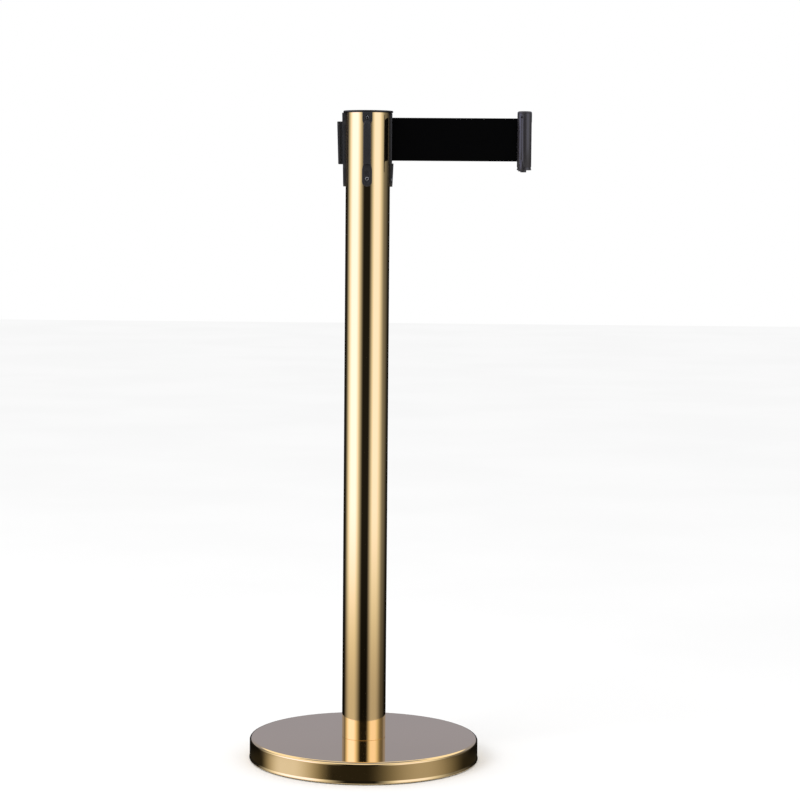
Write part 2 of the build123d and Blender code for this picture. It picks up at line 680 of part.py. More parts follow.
# ---- clip -----------------------------------------------------------------------------------
def clip_rod():
    """Round rod with a neck above its lower end, before it is parted."""
    rod = disc(CLIP_R, CLIP_LOW_Z, CLIP_BODY_TOP_Z, BELT_OUT)
    rod = chamfer(rod.edges().filter_by(GeomType.CIRCLE).sort_by(Axis.Z)[0], CLIP_LOW_EDGE)
    neck_low, neck_top = CLIP_LOW_Z + CLIP_NECK_LOW, CLIP_LOW_Z + CLIP_NECK_TOP
    return rod - ring(CLIP_R + 1, CLIP_NECK_D / 2, neck_low, neck_top, BELT_OUT)


def wedge_outline(grow):
    """Wedge from the front: narrow at its top, wide at its foot."""
    x = BELT_OUT + PARTING_X
    top = WEDGE_TOP_W / 2 + grow
    low = WEDGE_LOW_W / 2 + grow
    return [
        (x - top, POST_TOP - WEDGE_TOP + grow), (x + top, POST_TOP - WEDGE_TOP + grow),
        (x + low, CLIP_LOW_Z - WEDGE_FOOT_H / 2), (x - low, CLIP_LOW_Z - WEDGE_FOOT_H / 2),
    ]


def wedge_space():
    return prism_y(wedge_outline(FIT), CLIP_D)


def bar_nest():
    nest_r = BAR_NEST_D / 2
    return disc(nest_r, BELT_LOW_Z - FIT, BELT_HIGH_Z + FIT, BELT_OUT + PARTING_X)


def clip_pin_hole():
    return rod_y(PIN_D / 2 + TURN, -CLIP_D, CLIP_D, BELT_OUT + PARTING_X, POST_TOP - PIN_BELOW_TOP)


def clip_body():
    x = BELT_OUT + PARTING_X + PARTING_GAP / 2
    body = clip_rod() & block(x, BELT_OUT + CLIP_D, -CLIP_D, CLIP_D, CLIP_LOW_Z, CLIP_BODY_TOP_Z)
    slot_x = BELT_OUT + SLOT_HEAD_X
    top = POST_TOP - SLOT_TOP
    body -= block(slot_x, slot_x + SLOT_HEAD_T, -SLOT_HEAD_W / 2, SLOT_HEAD_W / 2, CLIP_LOW_Z - 1, top)
    body -= block(slot_x, BELT_OUT + CLIP_D, -SLOT_MOUTH_W / 2, SLOT_MOUTH_W / 2, CLIP_LOW_Z - 1, top)
    spigot_x = BELT_OUT + CLIP_CAP_SPIGOT_X
    spigot_low = CLIP_BODY_TOP_Z - CLIP_CAP_SPIGOT_H - FIT
    body -= disc(CLIP_CAP_SPIGOT_D / 2 + FIT, spigot_low, CLIP_BODY_TOP_Z + 1, spigot_x)
    return body - bar_nest() - wedge_space() - clip_pin_hole()


def clip_jaw():
    x = BELT_OUT + PARTING_X - PARTING_GAP / 2
    body = clip_rod() & block(BELT_OUT - CLIP_D, x, -CLIP_D, CLIP_D, CLIP_LOW_Z, CLIP_BODY_TOP_Z)
    gap = BELT_T / 2 + FIT
    body -= block(BELT_OUT - CLIP_D, x + 1, -gap, gap, BELT_LOW_Z - FIT, BELT_HIGH_Z + FIT)
    return body - bar_nest() - wedge_space() - clip_pin_hole()


def clip_cap():
    top = POST_TOP + CLIP_TOP
    body = disc(CLIP_R, CLIP_BODY_TOP_Z + FIT, top, BELT_OUT)
    body = fillet(body.edges().filter_by(GeomType.CIRCLE).sort_by(Axis.Z)[-1], CLIP_EDGE)
    spigot_x = BELT_OUT + CLIP_CAP_SPIGOT_X
    return body + disc(
        CLIP_CAP_SPIGOT_D / 2, CLIP_BODY_TOP_Z - CLIP_CAP_SPIGOT_H, CLIP_BODY_TOP_Z + 1, spigot_x)


def clip_pin():
    x = BELT_OUT + PARTING_X
    half = math.sqrt(CLIP_R ** 2 - PARTING_X ** 2) - PIN_RECESS
    z = POST_TOP - PIN_BELOW_TOP
    pin = rod_y(PIN_D / 2, -half, half, x, z)
    middle = half - PIN_DIMPLE
    return pin - rod_y(PIN_D / 4, -half - 1, -middle, x, z) - rod_y(PIN_D / 4, middle, half + 1, x, z)


def belt_wedge():
    body = prism_y(wedge_outline(0), CLIP_D) & disc(CLIP_R - FIT, 0, POST_TOP, BELT_OUT)
    gap = BELT_T / 2 + BAR_D / 2 + BELT_T + FREE
    body -= block(BELT_OUT - CLIP_D, BELT_OUT, -gap, gap, BELT_LOW_Z - FREE, POST_TOP)
    x = BELT_OUT + PARTING_X
    foot_r = WEDGE_LOW_W / 2
    foot = disc(foot_r, CLIP_LOW_Z - WEDGE_FOOT_H, CLIP_LOW_Z - FIT, x + WEDGE_FOOT_SHIFT)
    return body + foot


def anchor_bar():
    x = BELT_OUT + PARTING_X
    return disc(BAR_D / 2, BELT_LOW_Z + BAR_SHORT, BELT_HIGH_Z - BAR_SHORT, x)


# ---- all nodes ------------------------------------------------------------------------------
def main():
    os.makedirs("parts", exist_ok=True)
    for make in (
        base_cover, base_weight, floor_ring, recess_plug, tube_foot, tie_bolt, plain_washer,
        spring_washer, post_tube, top_cap, exit_guide, cassette_shell, cassette_lid, spring_cover,
        spindle, spindle_ring, spool, spool_bush_top, spool_bush_low, belt_roll, spring_arbor,
        power_spring, belt_web, clip_body, clip_jaw, clip_cap, clip_pin, belt_wedge, anchor_bar,
    ):
        keep(make.__name__, make())
    keep("receiver_front", turned(receiver(), 270))
    keep("receiver_left", turned(receiver(), 180))
    keep("receiver_rear", turned(receiver(), 90))
    keep("receiver_screws", *receiver_screws())
    keep("lid_screws", *case_screws(LID_Z + LID_T, 1))
    keep("cover_screws", *case_screws(SPRING_COVER_Z, -1))
    keep("thrust_washers", *thrust_washers())
    keep("roller_rear", guide_roller(1))
    keep("roller_front", guide_roller(-1))
    keep("roller_pins", *roller_pins())


main()
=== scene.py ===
import json
import math

import bmesh
import bpy
from bpy.props import FloatProperty, FloatVectorProperty, IntProperty, PointerProperty
from bpy.types import Operator, Panel, PropertyGroup
from mathutils import Matrix, Vector


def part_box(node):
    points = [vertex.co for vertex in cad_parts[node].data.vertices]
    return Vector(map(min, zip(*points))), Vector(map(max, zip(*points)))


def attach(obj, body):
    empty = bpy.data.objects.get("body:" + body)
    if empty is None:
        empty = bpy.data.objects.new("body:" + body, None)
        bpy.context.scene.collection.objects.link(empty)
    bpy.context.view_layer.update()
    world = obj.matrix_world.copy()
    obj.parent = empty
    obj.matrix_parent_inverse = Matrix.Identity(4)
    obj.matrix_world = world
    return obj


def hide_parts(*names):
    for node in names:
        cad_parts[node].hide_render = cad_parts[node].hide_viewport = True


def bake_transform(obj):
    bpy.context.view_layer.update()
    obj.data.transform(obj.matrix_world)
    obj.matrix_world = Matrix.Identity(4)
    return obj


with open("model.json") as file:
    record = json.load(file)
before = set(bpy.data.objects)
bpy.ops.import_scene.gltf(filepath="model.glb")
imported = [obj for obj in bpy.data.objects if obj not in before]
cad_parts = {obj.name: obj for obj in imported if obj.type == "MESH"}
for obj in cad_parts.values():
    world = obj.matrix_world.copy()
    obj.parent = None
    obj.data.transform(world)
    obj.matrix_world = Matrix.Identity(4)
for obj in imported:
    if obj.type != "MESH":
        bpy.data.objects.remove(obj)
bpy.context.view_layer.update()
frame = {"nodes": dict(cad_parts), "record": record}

bl_info = {
    "name": "Retractable Belt Stanchion",
    "version": (1, 0, 0),
    "blender": (4, 5, 0),
    "location": "View3D > Sidebar > Stanchion",
    "description": "Builds the visible pieces of a retractable belt stanchion around its frame",
    "category": "Object",
}

MM = 0.001
WELD = 1e-6               # vertices nearer than this are one
OVERCUT = 2 * MM          # how far a cutting tool runs past what it cuts
FACE_Z = Vector((0, 0, 1))

TUBE_LOW, TUBE_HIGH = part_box("post_tube")
COVER_LOW, COVER_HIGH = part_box("base_cover")
CAP_LOW, CAP_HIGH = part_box("top_cap")
REAR_LOW, REAR_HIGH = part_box("receiver_rear")
EXIT_LOW, EXIT_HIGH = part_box("exit_guide")
WEB_LOW, WEB_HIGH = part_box("belt_web")
BAR_LOW, BAR_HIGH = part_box("anchor_bar")
CLIP_CAP_LOW, CLIP_CAP_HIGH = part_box("clip_cap")
CLIP_LOW, CLIP_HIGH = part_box("clip_body")
ROLLER_LOW, ROLLER_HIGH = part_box("roller_rear")
WEDGE_LOW, WEDGE_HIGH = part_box("belt_wedge")
PIN_LOW, PIN_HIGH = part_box("clip_pin")

POST_TOP = TUBE_HIGH.z
TUBE_R = TUBE_HIGH.x
CLIP_X = (CLIP_CAP_LOW.x + CLIP_CAP_HIGH.x) / 2
CLIP_R = (CLIP_CAP_HIGH.x - CLIP_CAP_LOW.x) / 2
PARTING_X = (BAR_LOW.x + BAR_HIGH.x) / 2
LOOP_R = (BAR_HIGH.x - BAR_LOW.x) / 2 + 0.35 * MM
NIP_X = (ROLLER_LOW.x + ROLLER_HIGH.x) / 2


def length(name, description, default):
    """A length that a user may change, in metres."""
    return FloatProperty(
        name=name, description=description, default=default, min=0.0, unit="LENGTH", subtype="DISTANCE",
        precision=5)


def tint(name, description, default):
    """A colour that a user may change."""
    return FloatVectorProperty(
        name=name, description=description, default=default, size=3, min=0.0, max=1.0, subtype="COLOR")


class BaseSizes(PropertyGroup):
    edge_radius: length("Edge radius", "Rounding between the base's flat top and its skirt", 4.2 * MM)
    sheet: length("Sheet", "Thickness of the spun cover", 1.0 * MM)
    hem: length("Hem", "Rolled hem along the skirt's lower edge", 0.9 * MM)
    bead: length("Bead", "Height of the flared band above the hem", 3.4 * MM)
    steps: IntProperty(name="Steps", description="Segments around the base", default=256, min=32, max=512)


class PostSizes(PropertyGroup):
    wall: length("Wall", "Wall thickness of the tube", 1.2 * MM)
    edge: length("Edge", "Rounding of the tube's ends", 0.3 * MM)
    steps: IntProperty(name="Steps", description="Segments around the tube", default=192, min=32, max=512)
    cap_edge: length("Cap edge", "Rounding of the cap's rim", 0.8 * MM)
    cap_crown: length("Cap crown", "Rise of the cap's top towards its middle", 0.35 * MM)
    cap_groove: length("Cap groove", "Width of the groove near the cap's rim", 0.8 * MM)


class HeadSizes(PropertyGroup):
    lug_width: length("Lug width", "Width of a receiver's screw lugs", 14.0 * MM)
    waist_width: length("Waist width", "Width of a receiver's base plate behind the rail", 10.0 * MM)
    lug_end: length("Upper lug end", "Where the upper lug starts to narrow, below the tube's top", 11.5 * MM)
    waist_start: length("Waist start", "Where the waist starts, below the tube's top", 18.0 * MM)
    waist_end: length("Waist end", "Where the waist ends, below the tube's top", 70.0 * MM)
    lug_start: length("Lower lug start", "Where the lower lug is at its full width", 82.0 * MM)
    well_start: length("Well start", "Upper end of the lower screw well below the tube's top", 82.0 * MM)
    well_end: length("Well end", "Lower end of the lower screw well below the tube's top", 100.0 * MM)
    well_width: length("Well width", "Width of the lower screw well", 6.0 * MM)
    well_depth: length("Well depth", "Depth of the lower screw well", 1.8 * MM)
    pocket_reach: length("Pocket reach", "Upper screw well's ends from its screw", 3.5 * MM)
    pocket_width: length("Pocket width", "Width of the upper screw well", 5.6 * MM)
    pocket_depth: length("Pocket depth", "Depth of the upper screw well", 2.4 * MM)
    notch: length("Notch", "Exit lug's side notch above and below its screw", 2.7 * MM)
    top_stand: length("Top stand", "How far a base plate stands off the tube at its top", 5.4 * MM)
    low_stand: length("Low stand", "How far it stands off the tube at its lower end", 3.4 * MM)
    rail_top: length("Rail top", "Upper end of the rail below the tube's top", 12.6 * MM)
    rail_low: length("Rail end", "Lower end of the rail below the tube's top", 73.0 * MM)
    rail_top_stand: length("Rail top stand", "Rail's outer face off the tube at its upper end", 12.5 * MM)
    rail_low_stand: length("Rail low stand", "Rail's outer face off the tube at its lower end", 10.6 * MM)
    rail_width: length("Rail width", "Width of the rail's head", 10.6 * MM)
    rail_head: length("Rail head", "Thickness of the rail's head", 3.5 * MM)
    rail_web: length("Rail web", "Thickness of the rail's web", 4.5 * MM)
    rail_lead: length("Rail lead", "Length of the tapered upper end of the rail", 6.5 * MM)
    rail_lead_width: length("Lead width", "Width of the rail at its very top", 6.0 * MM)
    edge: length("Edge", "Rounding of moulded edges", 0.45 * MM)
    screw_top: length("Upper screw", "Upper screw below the tube's top", 7.7 * MM)
    screw_low: length("Lower screw", "Lower screw below the tube's top", 93.5 * MM)
    bezel_stand: length("Bezel stand", "How far the belt's bezel stands off the tube", 2.6 * MM)
    bezel_width: length("Bezel width", "Width of the belt's bezel", 18.0 * MM)
    bezel_height: length("Bezel height", "Height of the belt's bezel", 73.0 * MM)
    exit_lug_stand: length("Exit lug stand", "How far the lug under the bezel stands off the tube", 4.7 * MM)
    slot_width: length("Slot width", "Width of the belt's slot", 6.0 * MM)
    slot_room: length("Slot room", "Belt's slot beyond each edge of the belt", 0.8 * MM)
    sleeve_wall: length("Sleeve wall", "Wall of the sleeve behind the bezel", 1.6 * MM)
    screw_head: length("Screw head", "Diameter of the screws' heads", 5.2 * MM)
    screw_height: length("Screw height", "Height of the screws' heads", 1.5 * MM)


class BeltSizes(PropertyGroup):
    thickness: length("Thickness", "Thickness of the webbing", 0.5 * MM)
    step: length("Step", "Length of one row of faces along the belt", 2.0 * MM)
    rows: IntProperty(name="Rows", description="Rows of faces across the belt", default=20, min=4, max=60)
    selvedge: length("Selvedge", "Width of the thicker woven edge", 2.2 * MM)


class ClipSizes(PropertyGroup):
    edge: length("Edge", "Rounding of the clip's edges", 0.35 * MM)
    gap: length("Parting gap", "Gap between the clip's two halves", 0.3 * MM)
    low_edge: length("Lower edge", "Chamfer of the clip's lower end", 0.5 * MM)
    neck: length("Neck", "Depth of the neck above the lower end", 0.45 * MM)
    neck_start: length("Neck start", "Lower end of the neck above the clip's lower end", 2.0 * MM)
    neck_end: length("Neck end", "Upper end of the neck above the clip's lower end", 4.6 * MM)
    cap_edge: length("Cap edge", "Rounding of the clip's cap", 2.6 * MM)
    foot_shift: length("Foot shift", "Wedge's foot from the parting plane", 3.0 * MM)
    slot_width: length("Slot width", "Width of the T-slot", 11.4 * MM)
    slot_depth: length("Slot depth", "Depth of the T-slot", 4.3 * MM)
    slot_inset: length("Slot inset", "Inner wall of the T-slot from the clip's axis", 3.2 * MM)
    mouth_width: length("Mouth width", "Width of the T-slot's mouth", 5.2 * MM)
    slot_top: length("Slot top", "Closed end of the T-slot below the tube's top", 12.0 * MM)
    steps: IntProperty(name="Steps", description="Segments around the clip", default=96, min=24, max=256)


class FinishColours(PropertyGroup):
    brass: tint("Brass", "Polished brass-coloured plating", (0.90, 0.67, 0.34))
    head_grey: tint("Head grey", "Dark grey plastic of the receivers", (0.013, 0.0128, 0.0145))
    clip_grey: tint("Clip grey", "Dark grey plastic of the clip", (0.020, 0.018, 0.021))
    black: tint("Black", "Black plastic of the cap", (0.005, 0.005, 0.0055))
    belt: tint("Belt", "Black webbing", (0.0009, 0.0009, 0.0010))


class StudioSettings(PropertyGroup):
    camera_distance: length("Camera distance", "Camera from the post's axis, along the floor", 3.4)
    camera_height: length("Camera height", "Camera above the floor", 0.81066)
    bearing: FloatProperty(name="Bearing", description="Camera's turn about the post", default=0.035)
    pitch: FloatProperty(name="Pitch", description="Camera's tilt down, in radians", default=0.085)
    yaw: FloatProperty(name="Yaw", description="Camera's turn to the right, in radians", default=-0.0026)
    roll: FloatProperty(name="Roll", description="Camera's roll, in radians", default=0.0073)
    lens: FloatProperty(name="Lens", description="Focal length", default=107.16, unit="CAMERA")
    shift: FloatProperty(name="Shift", description="Sideways shift of the lens", default=0.05)
    floor_size: length("Floor size", "Half width of the floor", 12.0)
    key_power: FloatProperty(name="Key power", description="Key light's power", default=26.0, unit="POWER")


# ---- shader building -------------------------------------------------------------------------
def plug(place, value):
    """Link a wire to an input, or set the input's own value."""
    if isinstance(value, Wire):
        place.id_data.links.new(value.socket, place)
    else:
        place.default_value = value


class Wire:
    """A shader socket: Python's operators on it add Math nodes."""

    def __init__(self, socket):
        self.socket = socket

    def math(self, operation, *values):
        node = self.socket.id_data.nodes.new("ShaderNodeMath")
        node.operation = operation
        for place, value in zip(node.inputs, values):
            plug(place, value)
        return Wire(node.outputs[0])

    def __add__(self, other):
        return self.math("ADD", self, other)

    def __radd__(self, other):
        return self.math("ADD", other, self)

    def __sub__(self, other):
        return self.math("SUBTRACT", self, other)

    def __rsub__(self, other):
        return self.math("SUBTRACT", other, self)

    def __mul__(self, other):
        return self.math("MULTIPLY", self, other)

    def __rmul__(self, other):
        return self.math("MULTIPLY", other, self)

    def __truediv__(self, other):
        return self.math("DIVIDE", self, other)

    def sine(self):
        return self.math("SINE", self)

    def size(self):
        return self.math("ABSOLUTE", self)

    def above(self, other):
        return self.math("MAXIMUM", self, other)


class Recipe:
    """Node tree of one finish, with one method that adds any node."""

    def __init__(self, tree):
        self.tree = tree
        tree.nodes.clear()

    def node(self, kind, settings=None, inputs=None, output=0):
        made = self.tree.nodes.new(kind)
        for name, value in (settings or {}).items():
            if name == "stops":
                self.set_stops(made.color_ramp, value)
            else:
                setattr(made, name, value)
        for name, value in (inputs or {}).items():
            plug(made.inputs[name], value)
        return Wire(made.outputs[output]) if made.outputs else made

    @staticmethod
    def set_stops(ramp, stops):
        """Stops are (position, grey) or (position, (r, g, b))."""
        while len(ramp.elements) < len(stops):
            ramp.elements.new(1.0)
        for element, (position, value) in zip(ramp.elements, stops):
            element.position = position
            colour = (value,) * 3 if isinstance(value, float) else tuple(value)
            element.color = (*colour, 1.0)

    def smooth(self, value, low, high):
        """0 below low, 1 above high, and a smooth step between them."""
        return self.node(
            "ShaderNodeMapRange", {"interpolation_type": "SMOOTHSTEP"},
            {"Value": value, "From Min": low, "From Max": high})

    def mix(self, share, first, second):
        """Colour mix; a plain colour is given as (r, g, b)."""
        first = (*first, 1.0) if isinstance(first, (tuple, list)) else first
        second = (*second, 1.0) if isinstance(second, (tuple, list)) else second
        return self.node("ShaderNodeMix", {"data_type": "RGBA"}, {0: share, 6: first, 7: second}, 2)

    def place(self, stretch=(1.0, 1.0, 1.0)):
        """Object coordinates, scaled along each axis."""
        here = self.node("ShaderNodeTexCoord", output=3)
        return self.node("ShaderNodeMapping", None, {"Vector": here, "Scale": stretch})

    def axes(self):
        """Object coordinates as three wires."""
        here = self.node("ShaderNodeTexCoord", output=3)
        split = self.node("ShaderNodeSeparateXYZ", None, {"Vector": here}).socket.node
        return [Wire(out) for out in split.outputs]

    def noise(self, scale, detail=3.0, stretch=(1.0, 1.0, 1.0), rough=0.5):
        return self.node(
            "ShaderNodeTexNoise", None,
            {"Vector": self.place(stretch), "Scale": scale, "Detail": detail, "Roughness": rough})

    def bump(self, height, distance, strength=1.0):
        return self.node(
            "ShaderNodeBump", None, {"Height": height, "Distance": distance, "Strength": strength})

    def surface(self, inputs):
        shader = self.node("ShaderNodeBsdfPrincipled", None, inputs)
        self.node("ShaderNodeOutputMaterial", None, {"Surface": shader})


def shade(colour, factor):
    return tuple(min(1.0, part * factor) for part in colour)


def polished_brass(recipe, colours):
    """Mirror-polished plating with faint wipe marks and a very slight waviness of the metal."""
    wipes = recipe.noise(7.0, 4.0, (1.0, 1.0, 0.35))
    marks = recipe.noise(60.0, 3.0, (1.0, 1.0, 0.06))
    smudge = recipe.smooth(wipes, 0.50, 0.74)
    hairlines = recipe.smooth(marks, 0.52, 0.78)
    warmth = recipe.smooth(recipe.noise(3.0, 2.0), 0.35, 0.7)
    colour = recipe.mix(warmth, shade(colours.brass, 1.0), shade(colours.brass, 0.965))
    ripple = recipe.noise(28.0, 1.0, (1.0, 1.0, 0.25))
    recipe.surface({
        "Base Color": colour, "Metallic": 1.0,
        "Roughness": 0.035 + 0.035 * smudge + 0.02 * hairlines,
        "Normal": recipe.bump(ripple, 0.00002, 0.35),
    })


def moulded(recipe, colour, roughness, grain, depth, coat=0.0):
    """Injection-moulded plastic: fine spark-eroded grain, faint flow streaks, duller worn patches."""
    fine = recipe.noise(grain, 3.0, rough=0.65)
    flow = recipe.noise(22.0, 3.0, (1.0, 1.0, 0.18))
    handled = recipe.smooth(recipe.noise(14.0, 4.0), 0.45, 0.72)
    base = recipe.mix(recipe.smooth(flow, 0.3, 0.75), shade(colour, 0.86), shade(colour, 1.18))
    recipe.surface({
        "Base Color": base,
        "Roughness": roughness + 0.10 * fine - 0.08 * handled,
        "Coat Weight": coat, "Coat Roughness": 0.16,
        "Normal": recipe.bump(fine, depth, 0.6),
    })


def cap_plastic(recipe, colours):
    moulded(recipe, colours.black, 0.42, 2600.0, 0.00005)


def head_plastic(recipe, colours):
    moulded(recipe, colours.head_grey, 0.40, 2200.0, 0.00006)


def clip_plastic(recipe, colours):
    moulded(recipe, colours.clip_grey, 0.24, 2400.0, 0.00003, 0.35)


def case_plastic(recipe, colours):
    moulded(recipe, shade(colours.head_grey, 0.7), 0.5, 1800.0, 0.00006)


def bush_plastic(recipe, colours):
    moulded(recipe, (0.74, 0.72, 0.66), 0.38, 1500.0, 0.00003)


def belt_fabric(recipe, colours):
    """Polyester webbing: warp yarns along the belt, crossed in a broken twill, with a plain selvedge."""
    x, y, z = recipe.axes()
    yarns = (z * (math.tau / (1.05 * MM))).sine().size()
    twill = ((x * (math.tau / (1.5 * MM))) + (z * (math.tau / (2.1 * MM)))).sine().size()
    fibre = recipe.noise(900.0, 2.0, (0.25, 1.0, 1.0))
    relief = yarns * 0.55 + twill * 0.45 + fibre * 0.25
    fade = recipe.smooth(recipe.noise(26.0, 3.0), 0.35, 0.75)
    # crown follows the weave's relief, so the base colour is lighter on the yarns' crowns and darker in the
    # hollows between them: a painted highlight on the crowns and painted shade in the hollows, on top of the
    # bump
    crown = recipe.smooth(relief, 0.25, 1.05)
    dark = recipe.mix(fade, shade(colours.belt, 0.55), shade(colours.belt, 0.9))
    recipe.surface({
        "Base Color": recipe.mix(crown, dark, shade(colours.belt, 1.7)),
        "Roughness": 0.92 - 0.12 * crown, "Specular IOR Level": 0.02,
        "Normal": recipe.bump(relief, 0.00018, 0.8),
    })


def rubber(recipe, colours):
    moulded(recipe, (0.022, 0.022, 0.023), 0.72, 1200.0, 0.00012)


def cast_iron(recipe, colours):
    """Sand-cast surface under a thin dark paint."""
    sand = recipe.noise(420.0, 5.0, rough=0.7)
    lumps = recipe.noise(34.0, 3.0)
    colour = recipe.mix(recipe.smooth(lumps, 0.35, 0.7), (0.035, 0.036, 0.038), (0.060, 0.058, 0.056))
    recipe.surface({
        "Base Color": colour, "Metallic": 0.25, "Roughness": 0.62 + 0.2 * sand,
        "Normal": recipe.bump(sand + lumps * 0.7, 0.0005, 0.8),
    })


def bare_metal(recipe, colour, roughness, streaks):
    """Machined or plated metal with fine marks."""
    marks = recipe.noise(900.0, 3.0, streaks)
    patch = recipe.smooth(recipe.noise(90.0, 3.0), 0.4, 0.7)
    recipe.surface({
        "Base Color": recipe.mix(patch, shade(colour, 0.9), shade(colour, 1.06)), "Metallic": 1.0,
        "Roughness": roughness + 0.14 * marks + 0.06 * patch,
        "Normal": recipe.bump(marks, 0.00002, 0.5),
    })


def plain_steel(recipe, colours):
    bare_metal(recipe, (0.34, 0.34, 0.35), 0.22, (1.0, 1.0, 0.1))


def zinc_steel(recipe, colours):
    bare_metal(recipe, (0.66, 0.67, 0.70), 0.10, (1.0, 1.0, 1.0))


def spring_steel(recipe, colours):
    bare_metal(recipe, (0.20, 0.23, 0.32), 0.26, (1.0, 1.0, 0.2))


FINISHES = {
    "polished_brass": polished_brass, "cap_plastic": cap_plastic, "head_plastic": head_plastic,
    "clip_plastic": clip_plastic, "case_plastic": case_plastic, "bush_plastic": bush_plastic,
    "belt_fabric": belt_fabric, "rubber": rubber, "cast_iron": cast_iron,
    "plain_steel": plain_steel, "zinc_steel": zinc_steel, "spring_steel": spring_steel,
}


def finish(slot):
    """Material of a slot, made the first time that it is asked for."""
    name = slot + "_finish"
    material = bpy.data.materials.get(name)
    if material is None:
        material = bpy.data.materials.new(name)
        material.use_nodes = True
        FINISHES[slot](Recipe(material.node_tree), bpy.context.scene.stanchion_finish)
    return material


# ---- mesh helpers ----------------------------------------------------------------------------
def arc(centre, radius, start, end, steps):
    """Points of an arc in the (radius, height) plane, angles in degrees."""
    angles = [math.radians(start + (end - start) * k / steps) for k in range(steps + 1)]
    return [(centre[0] + radius * math.cos(a), centre[1] + radius * math.sin(a)) for a in angles]


def lathe(profile, steps, centre=(0.0, 0.0), closed=True):
    """Spin a (radius, height) outline about an upright axis; its ends on the axis become poles."""
    bm = bmesh.new()
    points = [bm.verts.new((centre[0] + r, centre[1], z)) for r, z in profile]
    edges = [bm.edges.new(pair) for pair in zip(points, points[1:])]
    if closed:
        edges.append(bm.edges.new((points[-1], points[0])))
    bmesh.ops.spin(
        bm, geom=points + edges, cent=(*centre, 0.0), axis=FACE_Z, angle=math.tau, steps=steps,
        use_merge=True)
    bmesh.ops.remove_doubles(bm, verts=bm.verts, dist=WELD)
    bmesh.ops.recalc_face_normals(bm, faces=bm.faces)
    return bm


def box(low, high):
    """Box between two corners."""
    bm = bmesh.new()
    bmesh.ops.create_cube(bm, size=1.0)
    low, high = Vector(low), Vector(high)
    bmesh.ops.scale(bm, vec=high - low, verts=bm.verts)
    bmesh.ops.translate(bm, vec=(low + high) / 2, verts=bm.verts)
    return bm


def pushed(outline, push):
    """Flat outline of 3-D points, pushed along a vector into a solid."""
    bm = bmesh.new()
    face = bm.faces.new([bm.verts.new(point) for point in outline])
    grown = bmesh.ops.extrude_face_region(bm, geom=[face])["geom"]
    moved = [item for item in grown if isinstance(item, bmesh.types.BMVert)]
    bmesh.ops.translate(bm, vec=push, verts=moved)
    bmesh.ops.recalc_face_normals(bm, faces=bm.faces)
    return bm


def rod(radius, start, along, steps=48):
    """Cylinder from a point along a vector."""
    bm = bmesh.new()
    bmesh.ops.create_cone(
        bm, cap_ends=True, segments=steps, radius1=radius, radius2=radius, depth=along.length)
    turn = FACE_Z.rotation_difference(along).to_matrix().to_4x4()
    place = Matrix.Translation(Vector(start) + along / 2) @ turn
    bmesh.ops.transform(bm, matrix=place, verts=bm.verts)
    return bm


def as_object(bm, name):
    mesh = bpy.data.meshes.new(name)
    bm.to_mesh(mesh)
    bm.free()
    made = bpy.data.objects.new(name, mesh)
    bpy.context.scene.collection.objects.link(made)
    return made


def combine(bm, tool, operation):
    """Join, cut or intersect one solid with another, and return the result."""
    body = as_object(bm, "work")
    other = as_object(tool, "tool")
    step = body.modifiers.new("combine", "BOOLEAN")
    step.object = other
    step.operation = operation
    step.solver = "EXACT"
    bpy.context.view_layer.update()
    shaped = body.evaluated_get(bpy.context.evaluated_depsgraph_get())
    result = bmesh.new()
    result.from_mesh(shaped.to_mesh())
    shaped.to_mesh_clear()
    for used in (body, other):
        mesh = used.data
        bpy.data.objects.remove(used)
        bpy.data.meshes.remove(mesh)
    bmesh.ops.remove_doubles(result, verts=result.verts, dist=WELD)
    bmesh.ops.dissolve_degenerate(result, dist=WELD, edges=result.edges)
    return result


def join(bm, tool):
    return combine(bm, tool, "UNION")


def cut(bm, tool):
    return combine(bm, tool, "DIFFERENCE")


def keep_inside(bm, tool):
    return combine(bm, tool, "INTERSECT")


def soften(bm, width, sharper_than=32.0, segments=2):
    """Round every edge that turns by more than an angle."""
    bmesh.ops.dissolve_limit(
        bm, angle_limit=math.radians(0.5), verts=bm.verts, edges=bm.edges, use_dissolve_boundaries=False,
        delimit={"NORMAL"})
    limit = math.radians(sharper_than)
    edges = [e for e in bm.edges if e.is_manifold and e.calc_face_angle(0.0) > limit]
    bmesh.ops.bevel(
        bm, geom=edges, offset=width, offset_type="OFFSET", affect="EDGES", segments=segments,
        profile=0.5, material=-1, clamp_overlap=True)
    bmesh.ops.remove_doubles(bm, verts=bm.verts, dist=WELD)
    return bm


def turned(bm, angle):
    """Turn a solid about the post's axis."""
    bmesh.ops.rotate(
        bm, cent=(0, 0, 0), matrix=Matrix.Rotation(math.radians(angle), 3, "Z"), verts=bm.verts)
    return bm


def deliver(bm, name, slot, body, replaced=(), smooth_below=38.0):
    """Turn a finished mesh into a named piece with its finish, on its body."""
    piece = as_object(bm, name)
    piece.data.polygons.foreach_set("use_smooth", [True] * len(piece.data.polygons))
    piece.data.set_sharp_from_angle(angle=math.radians(smooth_below))
    piece.data.materials.append(finish(slot))
    if body:
        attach(piece, body)
    if replaced:
        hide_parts(*replaced)
    return piece


# ---- post and base -----------------------------------------------------------------------------
def below_top(depth):
    """Height of a point given its depth below the tube's top."""
    return POST_TOP - depth


